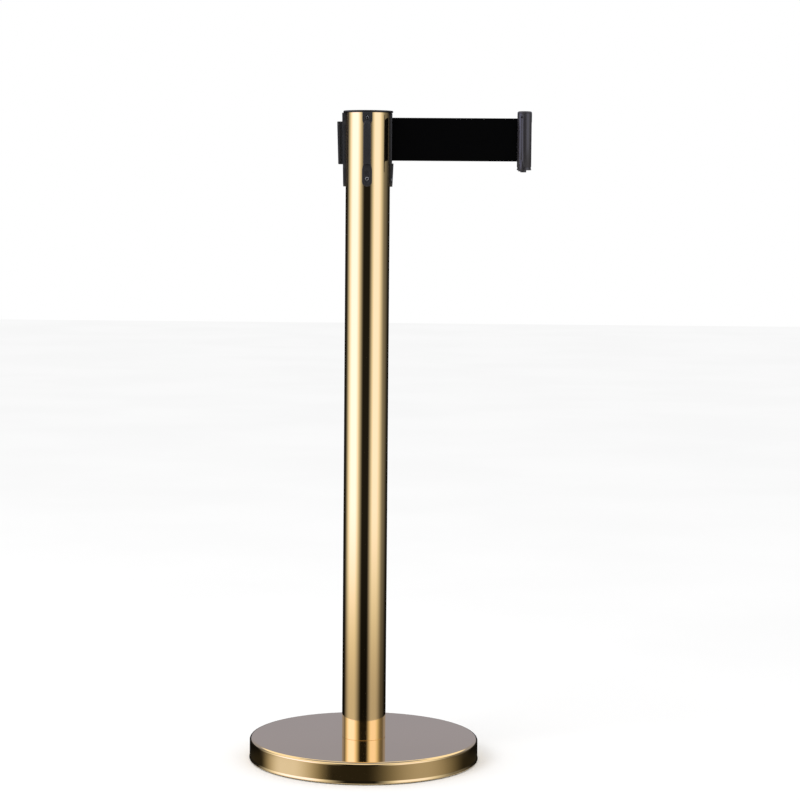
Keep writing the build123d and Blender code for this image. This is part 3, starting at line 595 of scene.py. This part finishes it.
class STANCHION_OT_base_cover(Operator):
    """Spun cover of the base: flat mirror top, rounded edge, skirt with a rolled hem"""
    bl_idname = "stanchion.base_cover"
    bl_label = "Base Cover"

    def execute(self, context):
        sizes = context.scene.stanchion_base
        top = COVER_HIGH.z
        foot = COVER_LOW.z
        foot_r = COVER_HIGH.x
        flare = 0.6 * MM
        edge = sizes.edge_radius
        top_r = foot_r - flare
        hole_r = 14.3 * MM
        support = 0.6 * MM
        outer = [(hole_r, top), (top_r * 0.6, top), (top_r - edge - support, top)]
        outer += arc((top_r - edge, top - edge), edge, 90, 0, 14)
        outer += [(top_r, top - edge - support), (top_r, foot + sizes.bead + 2 * support)]
        outer += [(top_r, foot + sizes.bead + support)]
        outer += [(top_r + flare * 0.15, foot + sizes.bead), (foot_r, foot + 2 * sizes.hem)]
        outer += arc((foot_r - sizes.hem, foot + sizes.hem), sizes.hem, 0, -180, 10)
        inner_edge = edge - sizes.sheet
        inner = [(foot_r - sizes.sheet * 1.8, foot + 2 * sizes.hem)]
        inner += arc((top_r - edge, top - edge), inner_edge, 0, 90, 6)
        inner += [(hole_r, top - sizes.sheet)]
        bm = lathe(outer + inner, sizes.steps)
        deliver(bm, "base_cover_shell", "polished_brass", "post", ["base_cover"], 60)
        return {"FINISHED"}


class STANCHION_OT_post_tube(Operator):
    """Polished post tube with rounded ends and the slot that the belt leaves through"""
    bl_idname = "stanchion.post_tube"
    bl_label = "Post Tube"

    def execute(self, context):
        sizes = context.scene.stanchion_post
        head = context.scene.stanchion_head
        edge = sizes.edge
        inner_r = TUBE_R - sizes.wall
        low, high = TUBE_LOW.z, TUBE_HIGH.z
        slot_low = WEB_LOW.z - 3 * MM
        slot_high = WEB_HIGH.z + 3 * MM
        near = 0.1 * MM
        profile = arc((TUBE_R - edge, low + edge), edge, -90, 0, 3)
        profile += [(TUBE_R, low + edge + near), (TUBE_R, slot_low), (TUBE_R, slot_high)]
        profile += [(TUBE_R, high - edge - near)]
        profile += arc((TUBE_R - edge, high - edge), edge, 0, 90, 3)
        profile += [(inner_r, high), (inner_r, slot_high), (inner_r, slot_low), (inner_r, low)]
        bm = lathe(profile, sizes.steps)
        half = head.slot_width / 2 + 1.7 * MM
        doomed = [
            face for face in bm.faces
            if slot_low < face.calc_center_median().z < slot_high
            and face.calc_center_median().x > 0 and abs(face.calc_center_median().y) < half
        ]
        bmesh.ops.delete(bm, geom=doomed, context="FACES")
        rims = [item for item in bm.edges if item.is_boundary]
        bmesh.ops.bridge_loops(bm, edges=rims)
        bmesh.ops.recalc_face_normals(bm, faces=bm.faces)
        deliver(bm, "post_tube_polished", "polished_brass", "post", ["post_tube"], 50)
        return {"FINISHED"}


class STANCHION_OT_top_cap(Operator):
    """Black cap with a rounded rim, a slight crown, a fine groove and its spigot in the tube"""
    bl_idname = "stanchion.top_cap"
    bl_label = "Top Cap"

    def execute(self, context):
        sizes = context.scene.stanchion_post
        cap_r = CAP_HIGH.x
        top = CAP_HIGH.z
        seat = POST_TOP + 0.02 * MM
        edge = sizes.cap_edge
        groove_r = cap_r - 3.2 * MM
        groove = sizes.cap_groove
        crown = sizes.cap_crown
        spigot_r = TUBE_R - sizes.wall - 0.1 * MM
        outline = [(0.0, top), (groove_r * 0.5, top - crown * 0.12), (groove_r - groove, top - crown * 0.8)]
        outline += arc((groove_r - groove / 2, top - crown), groove / 2, 180, 360, 6)
        outline += [(cap_r - edge - 0.4 * MM, top - crown)]
        outline += arc((cap_r - edge, top - crown - edge), edge, 90, 0, 6)
        outline += arc((cap_r - 0.3 * MM, seat + 0.3 * MM), 0.3 * MM, 0, -90, 3)
        outline += [
            (spigot_r, seat), (spigot_r, CAP_LOW.z + 0.5 * MM), (spigot_r - 0.5 * MM, CAP_LOW.z),
            (spigot_r - 2 * MM, CAP_LOW.z), (spigot_r - 2 * MM, seat), (0.0, seat),
        ]
        bm = lathe(outline, 144, closed=False)
        deliver(bm, "top_cap_disc", "cap_plastic", "post", ["top_cap"], 50)
        return {"FINISHED"}


# ---- receivers and exit guide ------------------------------------------------------------------
def plate_half_width(sizes, depth, height):
    """Half width of a base plate at a depth below the tube's top: two lugs and a waist."""
    lug, waist = sizes.lug_width / 2, sizes.waist_width / 2
    upper = min(1.0, max(0.0, (depth - sizes.lug_end) / (sizes.waist_start - sizes.lug_end)))
    lower = min(1.0, max(0.0, (depth - sizes.waist_end) / (sizes.lug_start - sizes.waist_end)))
    pinch = upper * upper * (3 - 2 * upper) - lower * lower * (3 - 2 * lower)
    half = lug + (waist - lug) * pinch
    left = height - depth
    if left < lug:
        half = math.sqrt(max(0.0, lug * lug - (lug - left) ** 2))
    return half


def lean(bm, inner_x, top_x, low_x, top_z, low_z):
    """Move the outer vertices of an upright slab onto a face that leans in downwards."""
    for vert in bm.verts:
        if vert.co.x > inner_x + WELD:
            share = (top_z - vert.co.z) / (top_z - low_z)
            vert.co.x = top_x + (low_x - top_x) * share


def plate_solid(sizes, top_depth, low_depth, width_at, top_x, low_x):
    """Upright slab on the tube with a given half width at each depth."""
    inner_x = TUBE_R - 1.0 * MM
    steps = 44
    depths = [top_depth + (low_depth - top_depth) * k / steps for k in range(steps)]
    end = low_depth - sizes.lug_width / 2
    round_end = [low_depth - sizes.lug_width / 2 * (1 - math.sin(math.radians(a))) for a in range(6, 90, 7)]
    depths = [d for d in depths if d < end] + [end] + round_end
    right = [(inner_x, width_at(d), below_top(d)) for d in depths]
    left = [(x, -y, z) for x, y, z in reversed(right)]
    bm = pushed(right + [(inner_x, 0.0, below_top(low_depth))] + left, (3 * MM, 0, 0))
    lean(bm, inner_x, top_x, low_x, below_top(0), below_top(low_depth))
    return bm


def rounded_well(width, top_depth, low_depth, floor_x):
    """Tool that cuts a screw well with round ends into a lug's face."""
    half = width / 2
    well = pushed(
        [(floor_x, half * math.cos(a), below_top(top_depth) - half + half * math.sin(a))
         for a in [math.pi * k / 10 for k in range(11)]]
        + [(floor_x, half * math.cos(a), below_top(low_depth) + half + half * math.sin(a))
           for a in [math.pi + math.pi * k / 10 for k in range(11)]],
        (TUBE_R, 0, 0))
    return well


def rail_solid(sizes):
    """T-rail: web and head, the head narrower at its top so that a clip finds it."""
    top, low = below_top(sizes.rail_top), below_top(sizes.rail_low)
    top_x, low_x = TUBE_R + sizes.rail_top_stand, TUBE_R + sizes.rail_low_stand
    web_half = sizes.rail_web / 2
    web = pushed(
        [(TUBE_R, -web_half, top), (top_x - MM, -web_half, top),
         (low_x - MM, -web_half, low), (TUBE_R, -web_half, low)], (0, sizes.rail_web, 0))
    half, lead = sizes.rail_width / 2, sizes.rail_lead_width / 2
    inner = low_x - sizes.rail_head
    face = [
        (inner, lead, top), (inner, half, top - sizes.rail_lead), (inner, half, low),
        (inner, -half, low), (inner, -half, top - sizes.rail_lead), (inner, -lead, top),
    ]
    head = pushed(face, (sizes.rail_head, 0, 0))
    for vert in head.verts:
        share = (top - vert.co.z) / (top - low)
        vert.co.x += (top_x - low_x) * (1 - share)
    return web, soften(head, 0.9 * MM, 50.0, 3)


def well_floor(sizes, end_depth, well_depth):
    """Floor of a screw well from the post's axis, sunk into the plate's leaning face at the well's end."""
    share = end_depth / (REAR_HIGH.z - REAR_LOW.z)
    return TUBE_R + sizes.top_stand + (sizes.low_stand - sizes.top_stand) * share - well_depth


def lower_well(sizes):
    floor_x = well_floor(sizes, sizes.well_end, sizes.well_depth)
    return rounded_well(sizes.well_width, sizes.well_start, sizes.well_end, floor_x), floor_x


def upper_well(sizes):
    start, end = sizes.screw_top - sizes.pocket_reach, sizes.screw_top + sizes.pocket_reach
    floor_x = well_floor(sizes, end, sizes.pocket_depth)
    return rounded_well(sizes.pocket_width, start, end, floor_x), floor_x


def receiver_solid(sizes):
    height = REAR_HIGH.z - REAR_LOW.z
    plate = plate_solid(
        sizes, 0.3 * MM, 0.3 * MM + height, lambda d: plate_half_width(sizes, d, 0.3 * MM + height),
        TUBE_R + sizes.top_stand, TUBE_R + sizes.low_stand)
    plate = cut(plate, upper_well(sizes)[0])
    plate = cut(plate, lower_well(sizes)[0])
    plate = soften(plate, sizes.edge, 40.0)
    web, head = rail_solid(sizes)
    return join(join(plate, web), head)


class STANCHION_OT_receivers(Operator):
    """Three belt receivers at the post's head: dog-bone base plate, screw wells and T-rail"""
    bl_idname = "stanchion.receivers"
    bl_label = "Receivers"

    def execute(self, context):
        sizes = context.scene.stanchion_head
        for node, angle in (("receiver_front", 270), ("receiver_left", 180), ("receiver_rear", 90)):
            bm = turned(receiver_solid(sizes), angle)
            deliver(bm, node + "_moulded", "head_plastic", "post", [node])
        return {"FINISHED"}


class STANCHION_OT_exit_guide(Operator):
    """Bezel that the belt leaves through, with the lug and its screw well below it"""
    bl_idname = "stanchion.exit_guide"
    bl_label = "Exit Guide"

    def execute(self, context):
        sizes = context.scene.stanchion_head
        inner_x = TUBE_R - 1.2 * MM
        bezel_x = TUBE_R + sizes.bezel_stand
        half = sizes.bezel_width / 2
        low = below_top(sizes.bezel_height)
        bezel = box((inner_x - 1.5 * MM, -half, low), (bezel_x, half, EXIT_HIGH.z))
        bezel = soften(bezel, 1.1 * MM, 40.0, 4)
        slot_half = sizes.slot_width / 2
        sleeve_wall = sizes.sleeve_wall
        slot_low, slot_high = WEB_LOW.z - sizes.slot_room, WEB_HIGH.z + sizes.slot_room
        sleeve = box(
            (EXIT_LOW.x, -slot_half - sleeve_wall, slot_low - sleeve_wall),
            (bezel_x - MM, slot_half + sleeve_wall, slot_high + sleeve_wall))
        lug_half = sizes.lug_width / 2
        height = below_top(0) - EXIT_LOW.z

        def width_at(depth):
            left = height - depth
            return math.sqrt(max(0.0, lug_half ** 2 - max(0.0, lug_half - left) ** 2))

        lean_in = (sizes.exit_lug_stand - sizes.low_stand) / (height - sizes.bezel_height)
        lug = plate_solid(
            sizes, sizes.bezel_height - 1.5 * MM, height, width_at,
            TUBE_R + sizes.low_stand + lean_in * height, TUBE_R + sizes.low_stand)
        lug = cut(lug, lower_well(sizes)[0])
        notch_z = below_top(sizes.screw_low)
        beyond = 20 * MM
        lug = cut(lug, box(
            (lower_well(sizes)[1], -beyond, notch_z - sizes.notch),
            (TUBE_R + beyond, 0.0, notch_z + sizes.notch)))
        lug = soften(lug, sizes.edge * 0.8, 40.0)
        slot = box(
            (EXIT_LOW.x - OVERCUT, -slot_half, slot_low), (bezel_x + OVERCUT, slot_half, slot_high))
        body = cut(join(bezel, sleeve), slot)
        body = join(body, lug)
        deliver(body, "exit_guide_moulded", "head_plastic", "post", ["exit_guide"])
        return {"FINISHED"}


def screw_head_solid(radius, height):
    """Domed screw head with a cross recess, its seat at the origin and its top along +X."""
    rim = 0.5 * height
    outline = [(0.0, 0.0), (radius - 0.1 * MM, 0.0), (radius, 0.15 * MM)]
    outline += arc((radius - rim, height * 0.94 - rim), rim, 0, 82, 6)
    outline += [(radius * 0.35, height * 0.99), (0.0, height)]
    head = lathe(outline, 40, closed=False)
    wing, deep = 0.62 * radius, height * 0.55
    slim = 0.34 * MM
    for size in ((wing, slim), (slim, wing)):
        head = cut(head, box((-size[0], -size[1], height - deep), (size[0], size[1], height + OVERCUT)))
    bmesh.ops.rotate(head, cent=(0, 0, 0), matrix=Matrix.Rotation(math.pi / 2, 3, "Y"), verts=head.verts)
    return head


class STANCHION_OT_head_screws(Operator):
    """Cross-recessed screws in the wells of the receivers and of the exit guide"""
    bl_idname = "stanchion.head_screws"
    bl_label = "Head Screws"

    def execute(self, context):
        sizes = context.scene.stanchion_head
        whole = bmesh.new()
        pattern = as_object(screw_head_solid(sizes.screw_head / 2, sizes.screw_height), "pattern").data
        for angle in (0, 90, 180, 270):
            wells = [(sizes.screw_low, lower_well(sizes)[1])]
            if angle:
                wells.append((sizes.screw_top, upper_well(sizes)[1]))
            for depth, floor_x in wells:
                before = set(whole.verts)
                whole.from_mesh(pattern)
                added = [v for v in whole.verts if v not in before]
                bmesh.ops.translate(whole, vec=(floor_x - 0.05 * MM, 0, below_top(depth)), verts=added)
                spin = Matrix.Rotation(math.radians(angle), 3, "Z")
                bmesh.ops.rotate(whole, cent=(0, 0, 0), matrix=spin, verts=added)
        bpy.data.objects.remove(bpy.data.objects["pattern"])
        deliver(whole, "head_screws_crossed", "zinc_steel", "post", ["receiver_screws"])
        return {"FINISHED"}


# ---- belt --------------------------------------------------------------------------------------
def belt_path(step):
    """Centre line of the free belt seen from above: off the roll, round the roller, out to the bar."""
    roller_y = (ROLLER_LOW.y + ROLLER_HIGH.y) / 2
    start = Vector((WEB_LOW.x + 0.3 * MM, WEB_HIGH.y + 0.1 * MM))
    reach = math.hypot(start.x - NIP_X, start.y - roller_y)
    towards = math.atan2(start.y - roller_y, start.x - NIP_X)
    touch = towards + math.acos(roller_y / reach)
    points = [(start.x, start.y)]
    steps = 10
    for k in range(steps + 1):
        angle = touch + (1.5 * math.pi - touch) * k / steps
        points.append((NIP_X + roller_y * math.cos(angle), roller_y + roller_y * math.sin(angle)))
    end_x = PARTING_X - LOOP_R
    count = max(2, round((end_x - NIP_X) / step))
    points += [(NIP_X + (end_x - NIP_X) * k / count, 0.0) for k in range(1, count + 1)]
    points += [
        (PARTING_X - LOOP_R * math.cos(a), -LOOP_R * math.sin(a))
        for a in [math.radians(20 * k) for k in range(1, 17)]
    ]
    return points


class STANCHION_OT_belt(Operator):
    """Webbing between the spool and the clip"""
    bl_idname = "stanchion.belt"
    bl_label = "Belt"

    def execute(self, context):
        sizes = context.scene.stanchion_belt
        bm = bmesh.new()
        low = WEB_LOW.z
        width = WEB_HIGH.z - WEB_LOW.z
        points = [bm.verts.new((x, y, low)) for x, y in belt_path(sizes.step)]
        edges = [bm.edges.new(pair) for pair in zip(points, points[1:])]
        bands = [0.0, 0.006, sizes.selvedge / width]
        bands += [k / sizes.rows for k in range(2, sizes.rows - 1)]
        bands += [1 - sizes.selvedge / width, 0.994, 1.0]
        front = edges
        for before, after in zip(bands, bands[1:]):
            grown = bmesh.ops.extrude_edge_only(bm, edges=front)["geom"]
            raised = [item for item in grown if isinstance(item, bmesh.types.BMVert)]
            front = [item for item in grown if isinstance(item, bmesh.types.BMEdge)
                     and all(vert in raised for vert in item.verts)]
            bmesh.ops.translate(bm, vec=(0, 0, (after - before) * width), verts=raised)
        bmesh.ops.recalc_face_normals(bm, faces=bm.faces)
        bmesh.ops.solidify(bm, geom=bm.faces[:], thickness=sizes.thickness)
        bmesh.ops.remove_doubles(bm, verts=bm.verts, dist=WELD)
        bmesh.ops.recalc_face_normals(bm, faces=bm.faces)
        belt = deliver(bm, "belt_webbing", "belt_fabric", None, (), 60)
        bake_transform(belt)
        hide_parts("belt_web")
        return {"FINISHED"}


# ---- clip --------------------------------------------------------------------------------------
def clip_rod(sizes):
    """Round rod of the clip with the neck above its lower end."""
    low, high = CLIP_LOW.z, CLIP_HIGH.z
    edge = sizes.edge
    neck_r = CLIP_R - sizes.neck
    outline = [(0.0, low), (CLIP_R - sizes.low_edge, low), (CLIP_R, low + sizes.low_edge)]
    outline += [(CLIP_R, low + sizes.neck_start), (neck_r, low + sizes.neck_start)]
    outline += [(neck_r, low + sizes.neck_end), (CLIP_R, low + sizes.neck_end), (CLIP_R, high - edge)]
    outline += arc((CLIP_R - edge, high - edge), edge, 30, 90, 2)
    outline += [(0.0, high)]
    return lathe(outline, sizes.steps, (CLIP_X, 0.0), closed=False)


def wedge_tool(grow):
    """Wedge seen from the front: narrow above, wide at the clip's lower end."""
    top_z = WEDGE_HIGH.z + grow
    low_z = CLIP_LOW.z - 1.5 * MM
    top, low = 0.7 * MM + grow, 4.25 * MM + grow
    outline = [
        (PARTING_X - top, -2 * CLIP_R, top_z), (PARTING_X + top, -2 * CLIP_R, top_z),
        (PARTING_X + low, -2 * CLIP_R, low_z), (PARTING_X - low, -2 * CLIP_R, low_z),
    ]
    return pushed(outline, (0, 4 * CLIP_R, 0))


def bar_well():
    """Room for the bar and the belt's loop, a little longer than the belt is wide."""
    height = WEB_HIGH.z - WEB_LOW.z + 0.2 * MM
    return rod(2.5 * MM, (PARTING_X, 0, WEB_LOW.z - 0.1 * MM), Vector((0, 0, height)))


def pin_hole():
    z = (PIN_LOW.z + PIN_HIGH.z) / 2
    return rod(1.55 * MM, (PARTING_X, -2 * CLIP_R, z), Vector((0, 4 * CLIP_R, 0)), 32)


def clip_half(sizes, low_x, high_x):
    """Part of the rod between two upright planes, with what both halves share cut out."""
    room = 2 * CLIP_R
    slab = box((low_x, -room, CLIP_LOW.z - room), (high_x, room, CLIP_HIGH.z + room))
    half = keep_inside(clip_rod(sizes), slab)
    for tool in (bar_well(), wedge_tool(0.1 * MM), pin_hole()):
        half = cut(half, tool)
    return half


class STANCHION_OT_clip(Operator):
    """Two halves of the belt clip: body with its T-slot and jaw that holds the belt"""
    bl_idname = "stanchion.clip"
    bl_label = "Belt Clip"

    def execute(self, context):
        sizes = context.scene.stanchion_clip
        body = clip_half(sizes, PARTING_X + sizes.gap / 2, CLIP_X + 2 * CLIP_R)
        slot_x = CLIP_X + sizes.slot_inset
        top = below_top(sizes.slot_top)
        under = CLIP_LOW.z - OVERCUT
        slot_half, mouth_half = sizes.slot_width / 2, sizes.mouth_width / 2
        body = cut(body, box((slot_x, -slot_half, under), (slot_x + sizes.slot_depth, slot_half, top)))
        body = cut(body, box((slot_x, -mouth_half, under), (CLIP_X + 2 * CLIP_R, mouth_half, top)))
        body = soften(body, sizes.edge, 40.0)
        deliver(body, "clip_body_slotted", "clip_plastic", "belt_end", ["clip_body"])
        jaw = clip_half(sizes, CLIP_X - 2 * CLIP_R, PARTING_X - sizes.gap / 2)
        jaw = cut(jaw, box(
            (CLIP_X - 2 * CLIP_R, -0.4 * MM, WEB_LOW.z - 0.2 * MM),
            (PARTING_X, 0.4 * MM, WEB_HIGH.z + 0.2 * MM)))
        jaw = soften(jaw, sizes.edge * 0.7, 40.0)
        deliver(jaw, "clip_jaw_slotted", "clip_plastic", "belt_end", ["clip_jaw"])
        return {"FINISHED"}


class STANCHION_OT_clip_cap(Operator):
    """Low domed cap on the clip, with the fine seam below it"""
    bl_idname = "stanchion.clip_cap"
    bl_label = "Clip Cap"

    def execute(self, context):
        sizes = context.scene.stanchion_clip
        top, low = CLIP_CAP_HIGH.z, CLIP_HIGH.z + 0.15 * MM
        edge, crown = sizes.cap_edge, 0.04 * MM
        outline = [(0.0, low), (CLIP_R - 0.15 * MM, low), (CLIP_R, low + 0.15 * MM)]
        outline += arc((CLIP_R - edge, top - crown - edge), edge, 0, 90, 10)
        outline += [(CLIP_R * 0.5, top - 0.4 * crown), (0.0, top)]
        bm = lathe(outline, sizes.steps, (CLIP_X, 0.0), closed=False)
        deliver(bm, "clip_cap_domed", "clip_plastic", "belt_end", ["clip_cap"], 50)
        return {"FINISHED"}


class STANCHION_OT_clip_wedge(Operator):
    """Wedge that locks the belt's end in the clip, with its foot below the clip"""
    bl_idname = "stanchion.clip_wedge"
    bl_label = "Clip Wedge"

    def execute(self, context):
        sizes = context.scene.stanchion_clip
        column = rod(
            CLIP_R - 0.15 * MM, (CLIP_X, 0, CLIP_LOW.z - 3 * MM), Vector((0, 0, 40 * MM)), sizes.steps)
        wedge = keep_inside(wedge_tool(0.0), column)
        wedge = cut(wedge, box(
            (CLIP_X - 2 * CLIP_R, -2.4 * MM, WEB_LOW.z - 0.3 * MM),
            (CLIP_X, 2.4 * MM, WEDGE_HIGH.z + OVERCUT)))
        wedge = soften(wedge, 0.2 * MM, 40.0)
        foot_x = PARTING_X + sizes.foot_shift
        outline = [(0.0, WEDGE_LOW.z)] + arc((3.35 * MM, WEDGE_LOW.z + 0.9 * MM), 0.9 * MM, -90, 0, 5)
        outline += [(4.25 * MM, CLIP_LOW.z - 0.1 * MM), (0.0, CLIP_LOW.z - 0.1 * MM)]
        foot = lathe(outline, 48, (foot_x, 0.0), closed=False)
        deliver(join(wedge, foot), "clip_wedge_footed", "clip_plastic", "belt_end", ["belt_wedge"])
        return {"FINISHED"}


class STANCHION_OT_inner_pieces(Operator):
    """Finishes for the pieces that keep the frame's own shape"""
    bl_idname = "stanchion.inner_pieces"
    bl_label = "Inner Pieces"

    def execute(self, context):
        slots = {entry["node"]: entry["material_slot"] for entry in frame["record"]["subparts"]}
        for node, piece in frame["nodes"].items():
            piece.data.materials.clear()
            piece.data.materials.append(finish(slots[node]))
        return {"FINISHED"}


# ---- stage -------------------------------------------------------------------------------------
def soft_box(recipe, bearing, start, full, fade, end):
    """Brightness of a soft box by bearing in degrees: dark before start and past end, full between."""
    return recipe.smooth(bearing, start, full) * (1.0 - recipe.smooth(bearing, fade, end))


def studio_world(recipe):
    """Studio round the object, as its polished metal sees it; everything else gets a plain white dome.

    A strong soft box stands on the left and a weaker one, with some spill behind it, on the right. Both
    are dimmer low down, and dimmer again at the floor. It is dark in front and behind, with a pale,
    slightly blue ceiling that has a brighter ring in it, and a grey ground.
    """
    direction = recipe.node("ShaderNodeTexCoord", output=0)
    parts = recipe.node("ShaderNodeSeparateXYZ", None, {"Vector": direction}).socket.node.outputs
    x, y, z = Wire(parts[0]), Wire(parts[1]), Wire(parts[2])
    bearing = x.math("ARCTAN2", x, 0.0 - y) * (180 / math.pi)
    rise = x.math("ARCSINE", z) * (180 / math.pi)
    left = soft_box(recipe, bearing, -130, -78, -56, -14)
    right = 0.68 * soft_box(recipe, bearing, 12, 42, 60, 104)
    spill = 0.13 * soft_box(recipe, bearing, 12, 42, 100, 142)
    height = 0.42 + 0.58 * recipe.smooth(rise, -12.4, -7.2)
    strength = (0.01 + left + right + spill) * height * 1.5
    glow = (strength - 0.75).above(0.0)
    warm = 0.93 + 0.07 * recipe.smooth(rise, -12.0, -8.5)
    lamp = recipe.node("ShaderNodeCombineColor", None, {
        "Red": strength, "Green": strength * warm, "Blue": (strength + glow * glow * 1.3) * warm * warm})
    low_left = 0.82 * soft_box(recipe, bearing, -124, -88, -74, -28)
    low_right = 0.40 * soft_box(recipe, bearing, 4, 62, 66, 126)
    dim = 0.02 + low_left + low_right
    low_lamp = recipe.node("ShaderNodeCombineColor", None, {
        "Red": dim * (1.15 - 0.18 * dim), "Green": dim, "Blue": dim * (0.68 + 0.5 * dim)})
    lamp = recipe.mix(recipe.smooth(rise, -13.45, -13.15), low_lamp, lamp)
    overhead = (0.35, 0.375, 0.53)
    behind = recipe.smooth(bearing.size(), 110, 138)
    sky_behind = recipe.smooth(rise, 6.5, 10.5)
    sky_sides = recipe.smooth(rise, 17.0, 28.0)
    sky = sky_behind * behind + sky_sides * (1.0 - behind)
    ground = 1.0 - recipe.smooth(rise, -24.0, -15.0)
    crown = recipe.smooth(rise, 26.0, 32.0) * (1.0 - recipe.smooth(rise, 52.0, 60.0))
    above = recipe.mix(crown, overhead, (1.2, 1.15, 1.1))
    seen = recipe.mix(ground, recipe.mix(sky, lamp, above), (0.62, 0.61, 0.60))
    rays = recipe.node("ShaderNodeLightPath").socket.node.outputs
    mirrored = Wire(rays["Is Glossy Ray"])
    colour = recipe.mix(mirrored, (1.0, 1.0, 1.0), seen)
    light = recipe.node("ShaderNodeBackground", None, {"Color": colour, "Strength": 1.0})
    recipe.node("ShaderNodeOutputWorld", None, {"Surface": light})


def floor_paint(recipe):
    """Plain pale studio floor with a barely visible mottle."""
    mottle = recipe.smooth(recipe.noise(1.5, 3.0), 0.3, 0.7)
    recipe.surface({
        "Base Color": recipe.mix(mottle, (0.93, 0.93, 0.93), (0.95, 0.95, 0.95)), "Roughness": 0.9,
        "Specular IOR Level": 0.0,
    })


class STANCHION_OT_stage(Operator):
    """Pale floor, studio world, key light and camera"""
    bl_idname = "stanchion.stage"
    bl_label = "Stage"

    def execute(self, context):
        scene = context.scene
        studio = scene.stanchion_studio
        scene.view_settings.view_transform = "Standard"
        world = bpy.data.worlds.new("studio")
        world.use_nodes = True
        studio_world(Recipe(world.node_tree))
        world.cycles.sampling_method = "NONE"
        scene.world = world
        self.floor(studio)
        self.key_light(studio)
        self.camera(scene, studio)
        return {"FINISHED"}

    @staticmethod
    def floor(studio):
        bm = bmesh.new()
        bmesh.ops.create_grid(bm, x_segments=8, y_segments=8, size=studio.floor_size)
        floor = as_object(bm, "studio_floor")
        paint = bpy.data.materials.new("floor_paint")
        paint.use_nodes = True
        floor_paint(Recipe(paint.node_tree))
        floor.data.materials.append(paint)
        floor.visible_glossy = False

    @staticmethod
    def key_light(studio):
        lamp = bpy.data.lights.new("key", "AREA")
        lamp.shape = "RECTANGLE"
        lamp.size = 1.6
        lamp.size_y = 1.2
        lamp.energy = studio.key_power
        key = bpy.data.objects.new("key", lamp)
        bpy.context.scene.collection.objects.link(key)
        key.location = (-1.8, -1.9, 2.2)
        aim = Vector((0, 0, 0.5)) - key.location
        key.rotation_euler = aim.to_track_quat("-Z", "Y").to_euler()
        key.visible_glossy = False

    @staticmethod
    def camera(scene, studio):
        lens = bpy.data.cameras.new("camera")
        lens.lens = studio.lens
        lens.shift_x = studio.shift
        camera = bpy.data.objects.new("camera", lens)
        scene.collection.objects.link(camera)
        level = Vector((math.sin(studio.yaw), math.cos(studio.yaw), 0.0))
        forward = level * math.cos(studio.pitch) - FACE_Z * math.sin(studio.pitch)
        right = Vector((level.y, -level.x, 0.0))
        up = right.cross(forward)
        rolled_right = right * math.cos(studio.roll) + up * math.sin(studio.roll)
        rolled_up = up * math.cos(studio.roll) - right * math.sin(studio.roll)
        turn = Matrix((rolled_right, rolled_up, -forward)).transposed()
        spot = Vector((0.0, -studio.camera_distance, studio.camera_height))
        around = Matrix.Rotation(studio.bearing, 4, "Z")
        camera.matrix_world = around @ Matrix.Translation(spot) @ turn.to_4x4()
        scene.camera = camera


# ---- add-on ------------------------------------------------------------------------------------
OPERATORS = (
    STANCHION_OT_inner_pieces, STANCHION_OT_base_cover, STANCHION_OT_post_tube, STANCHION_OT_top_cap,
    STANCHION_OT_receivers, STANCHION_OT_exit_guide, STANCHION_OT_head_screws, STANCHION_OT_belt,
    STANCHION_OT_clip, STANCHION_OT_clip_cap, STANCHION_OT_clip_wedge, STANCHION_OT_stage,
)

SETTINGS = {
    "stanchion_base": BaseSizes, "stanchion_post": PostSizes, "stanchion_head": HeadSizes,
    "stanchion_belt": BeltSizes, "stanchion_clip": ClipSizes, "stanchion_finish": FinishColours,
    "stanchion_studio": StudioSettings,
}


class STANCHION_PT_panel(Panel):
    """Lists the sizes and the pieces of the stanchion"""
    bl_idname = "STANCHION_PT_panel"
    bl_label = "Belt Stanchion"
    bl_space_type = "VIEW_3D"
    bl_region_type = "UI"
    bl_category = "Stanchion"

    def draw(self, context):
        for name, group in SETTINGS.items():
            column = self.layout.box().column()
            column.label(text=group.__name__)
            for key in group.__annotations__:
                column.prop(getattr(context.scene, name), key)
        for operator in OPERATORS:
            self.layout.operator(operator.bl_idname)


def register():
    for group in SETTINGS.values():
        bpy.utils.register_class(group)
    for name, group in SETTINGS.items():
        setattr(bpy.types.Scene, name, PointerProperty(type=group))
    for operator in OPERATORS:
        bpy.utils.register_class(operator)
    bpy.utils.register_class(STANCHION_PT_panel)


def unregister():
    bpy.utils.unregister_class(STANCHION_PT_panel)
    for operator in reversed(OPERATORS):
        bpy.utils.unregister_class(operator)
    for name, group in reversed(SETTINGS.items()):
        delattr(bpy.types.Scene, name)
        bpy.utils.unregister_class(group)


def main():
    register()
    bpy.ops.stanchion.inner_pieces()
    bpy.ops.stanchion.base_cover()
    bpy.ops.stanchion.post_tube()
    bpy.ops.stanchion.top_cap()
    bpy.ops.stanchion.receivers()
    bpy.ops.stanchion.exit_guide()
    bpy.ops.stanchion.head_screws()
    bpy.ops.stanchion.belt()
    bpy.ops.stanchion.clip()
    bpy.ops.stanchion.clip_cap()
    bpy.ops.stanchion.clip_wedge()
    bpy.ops.stanchion.stage()


if __name__ == "__main__":
    main()
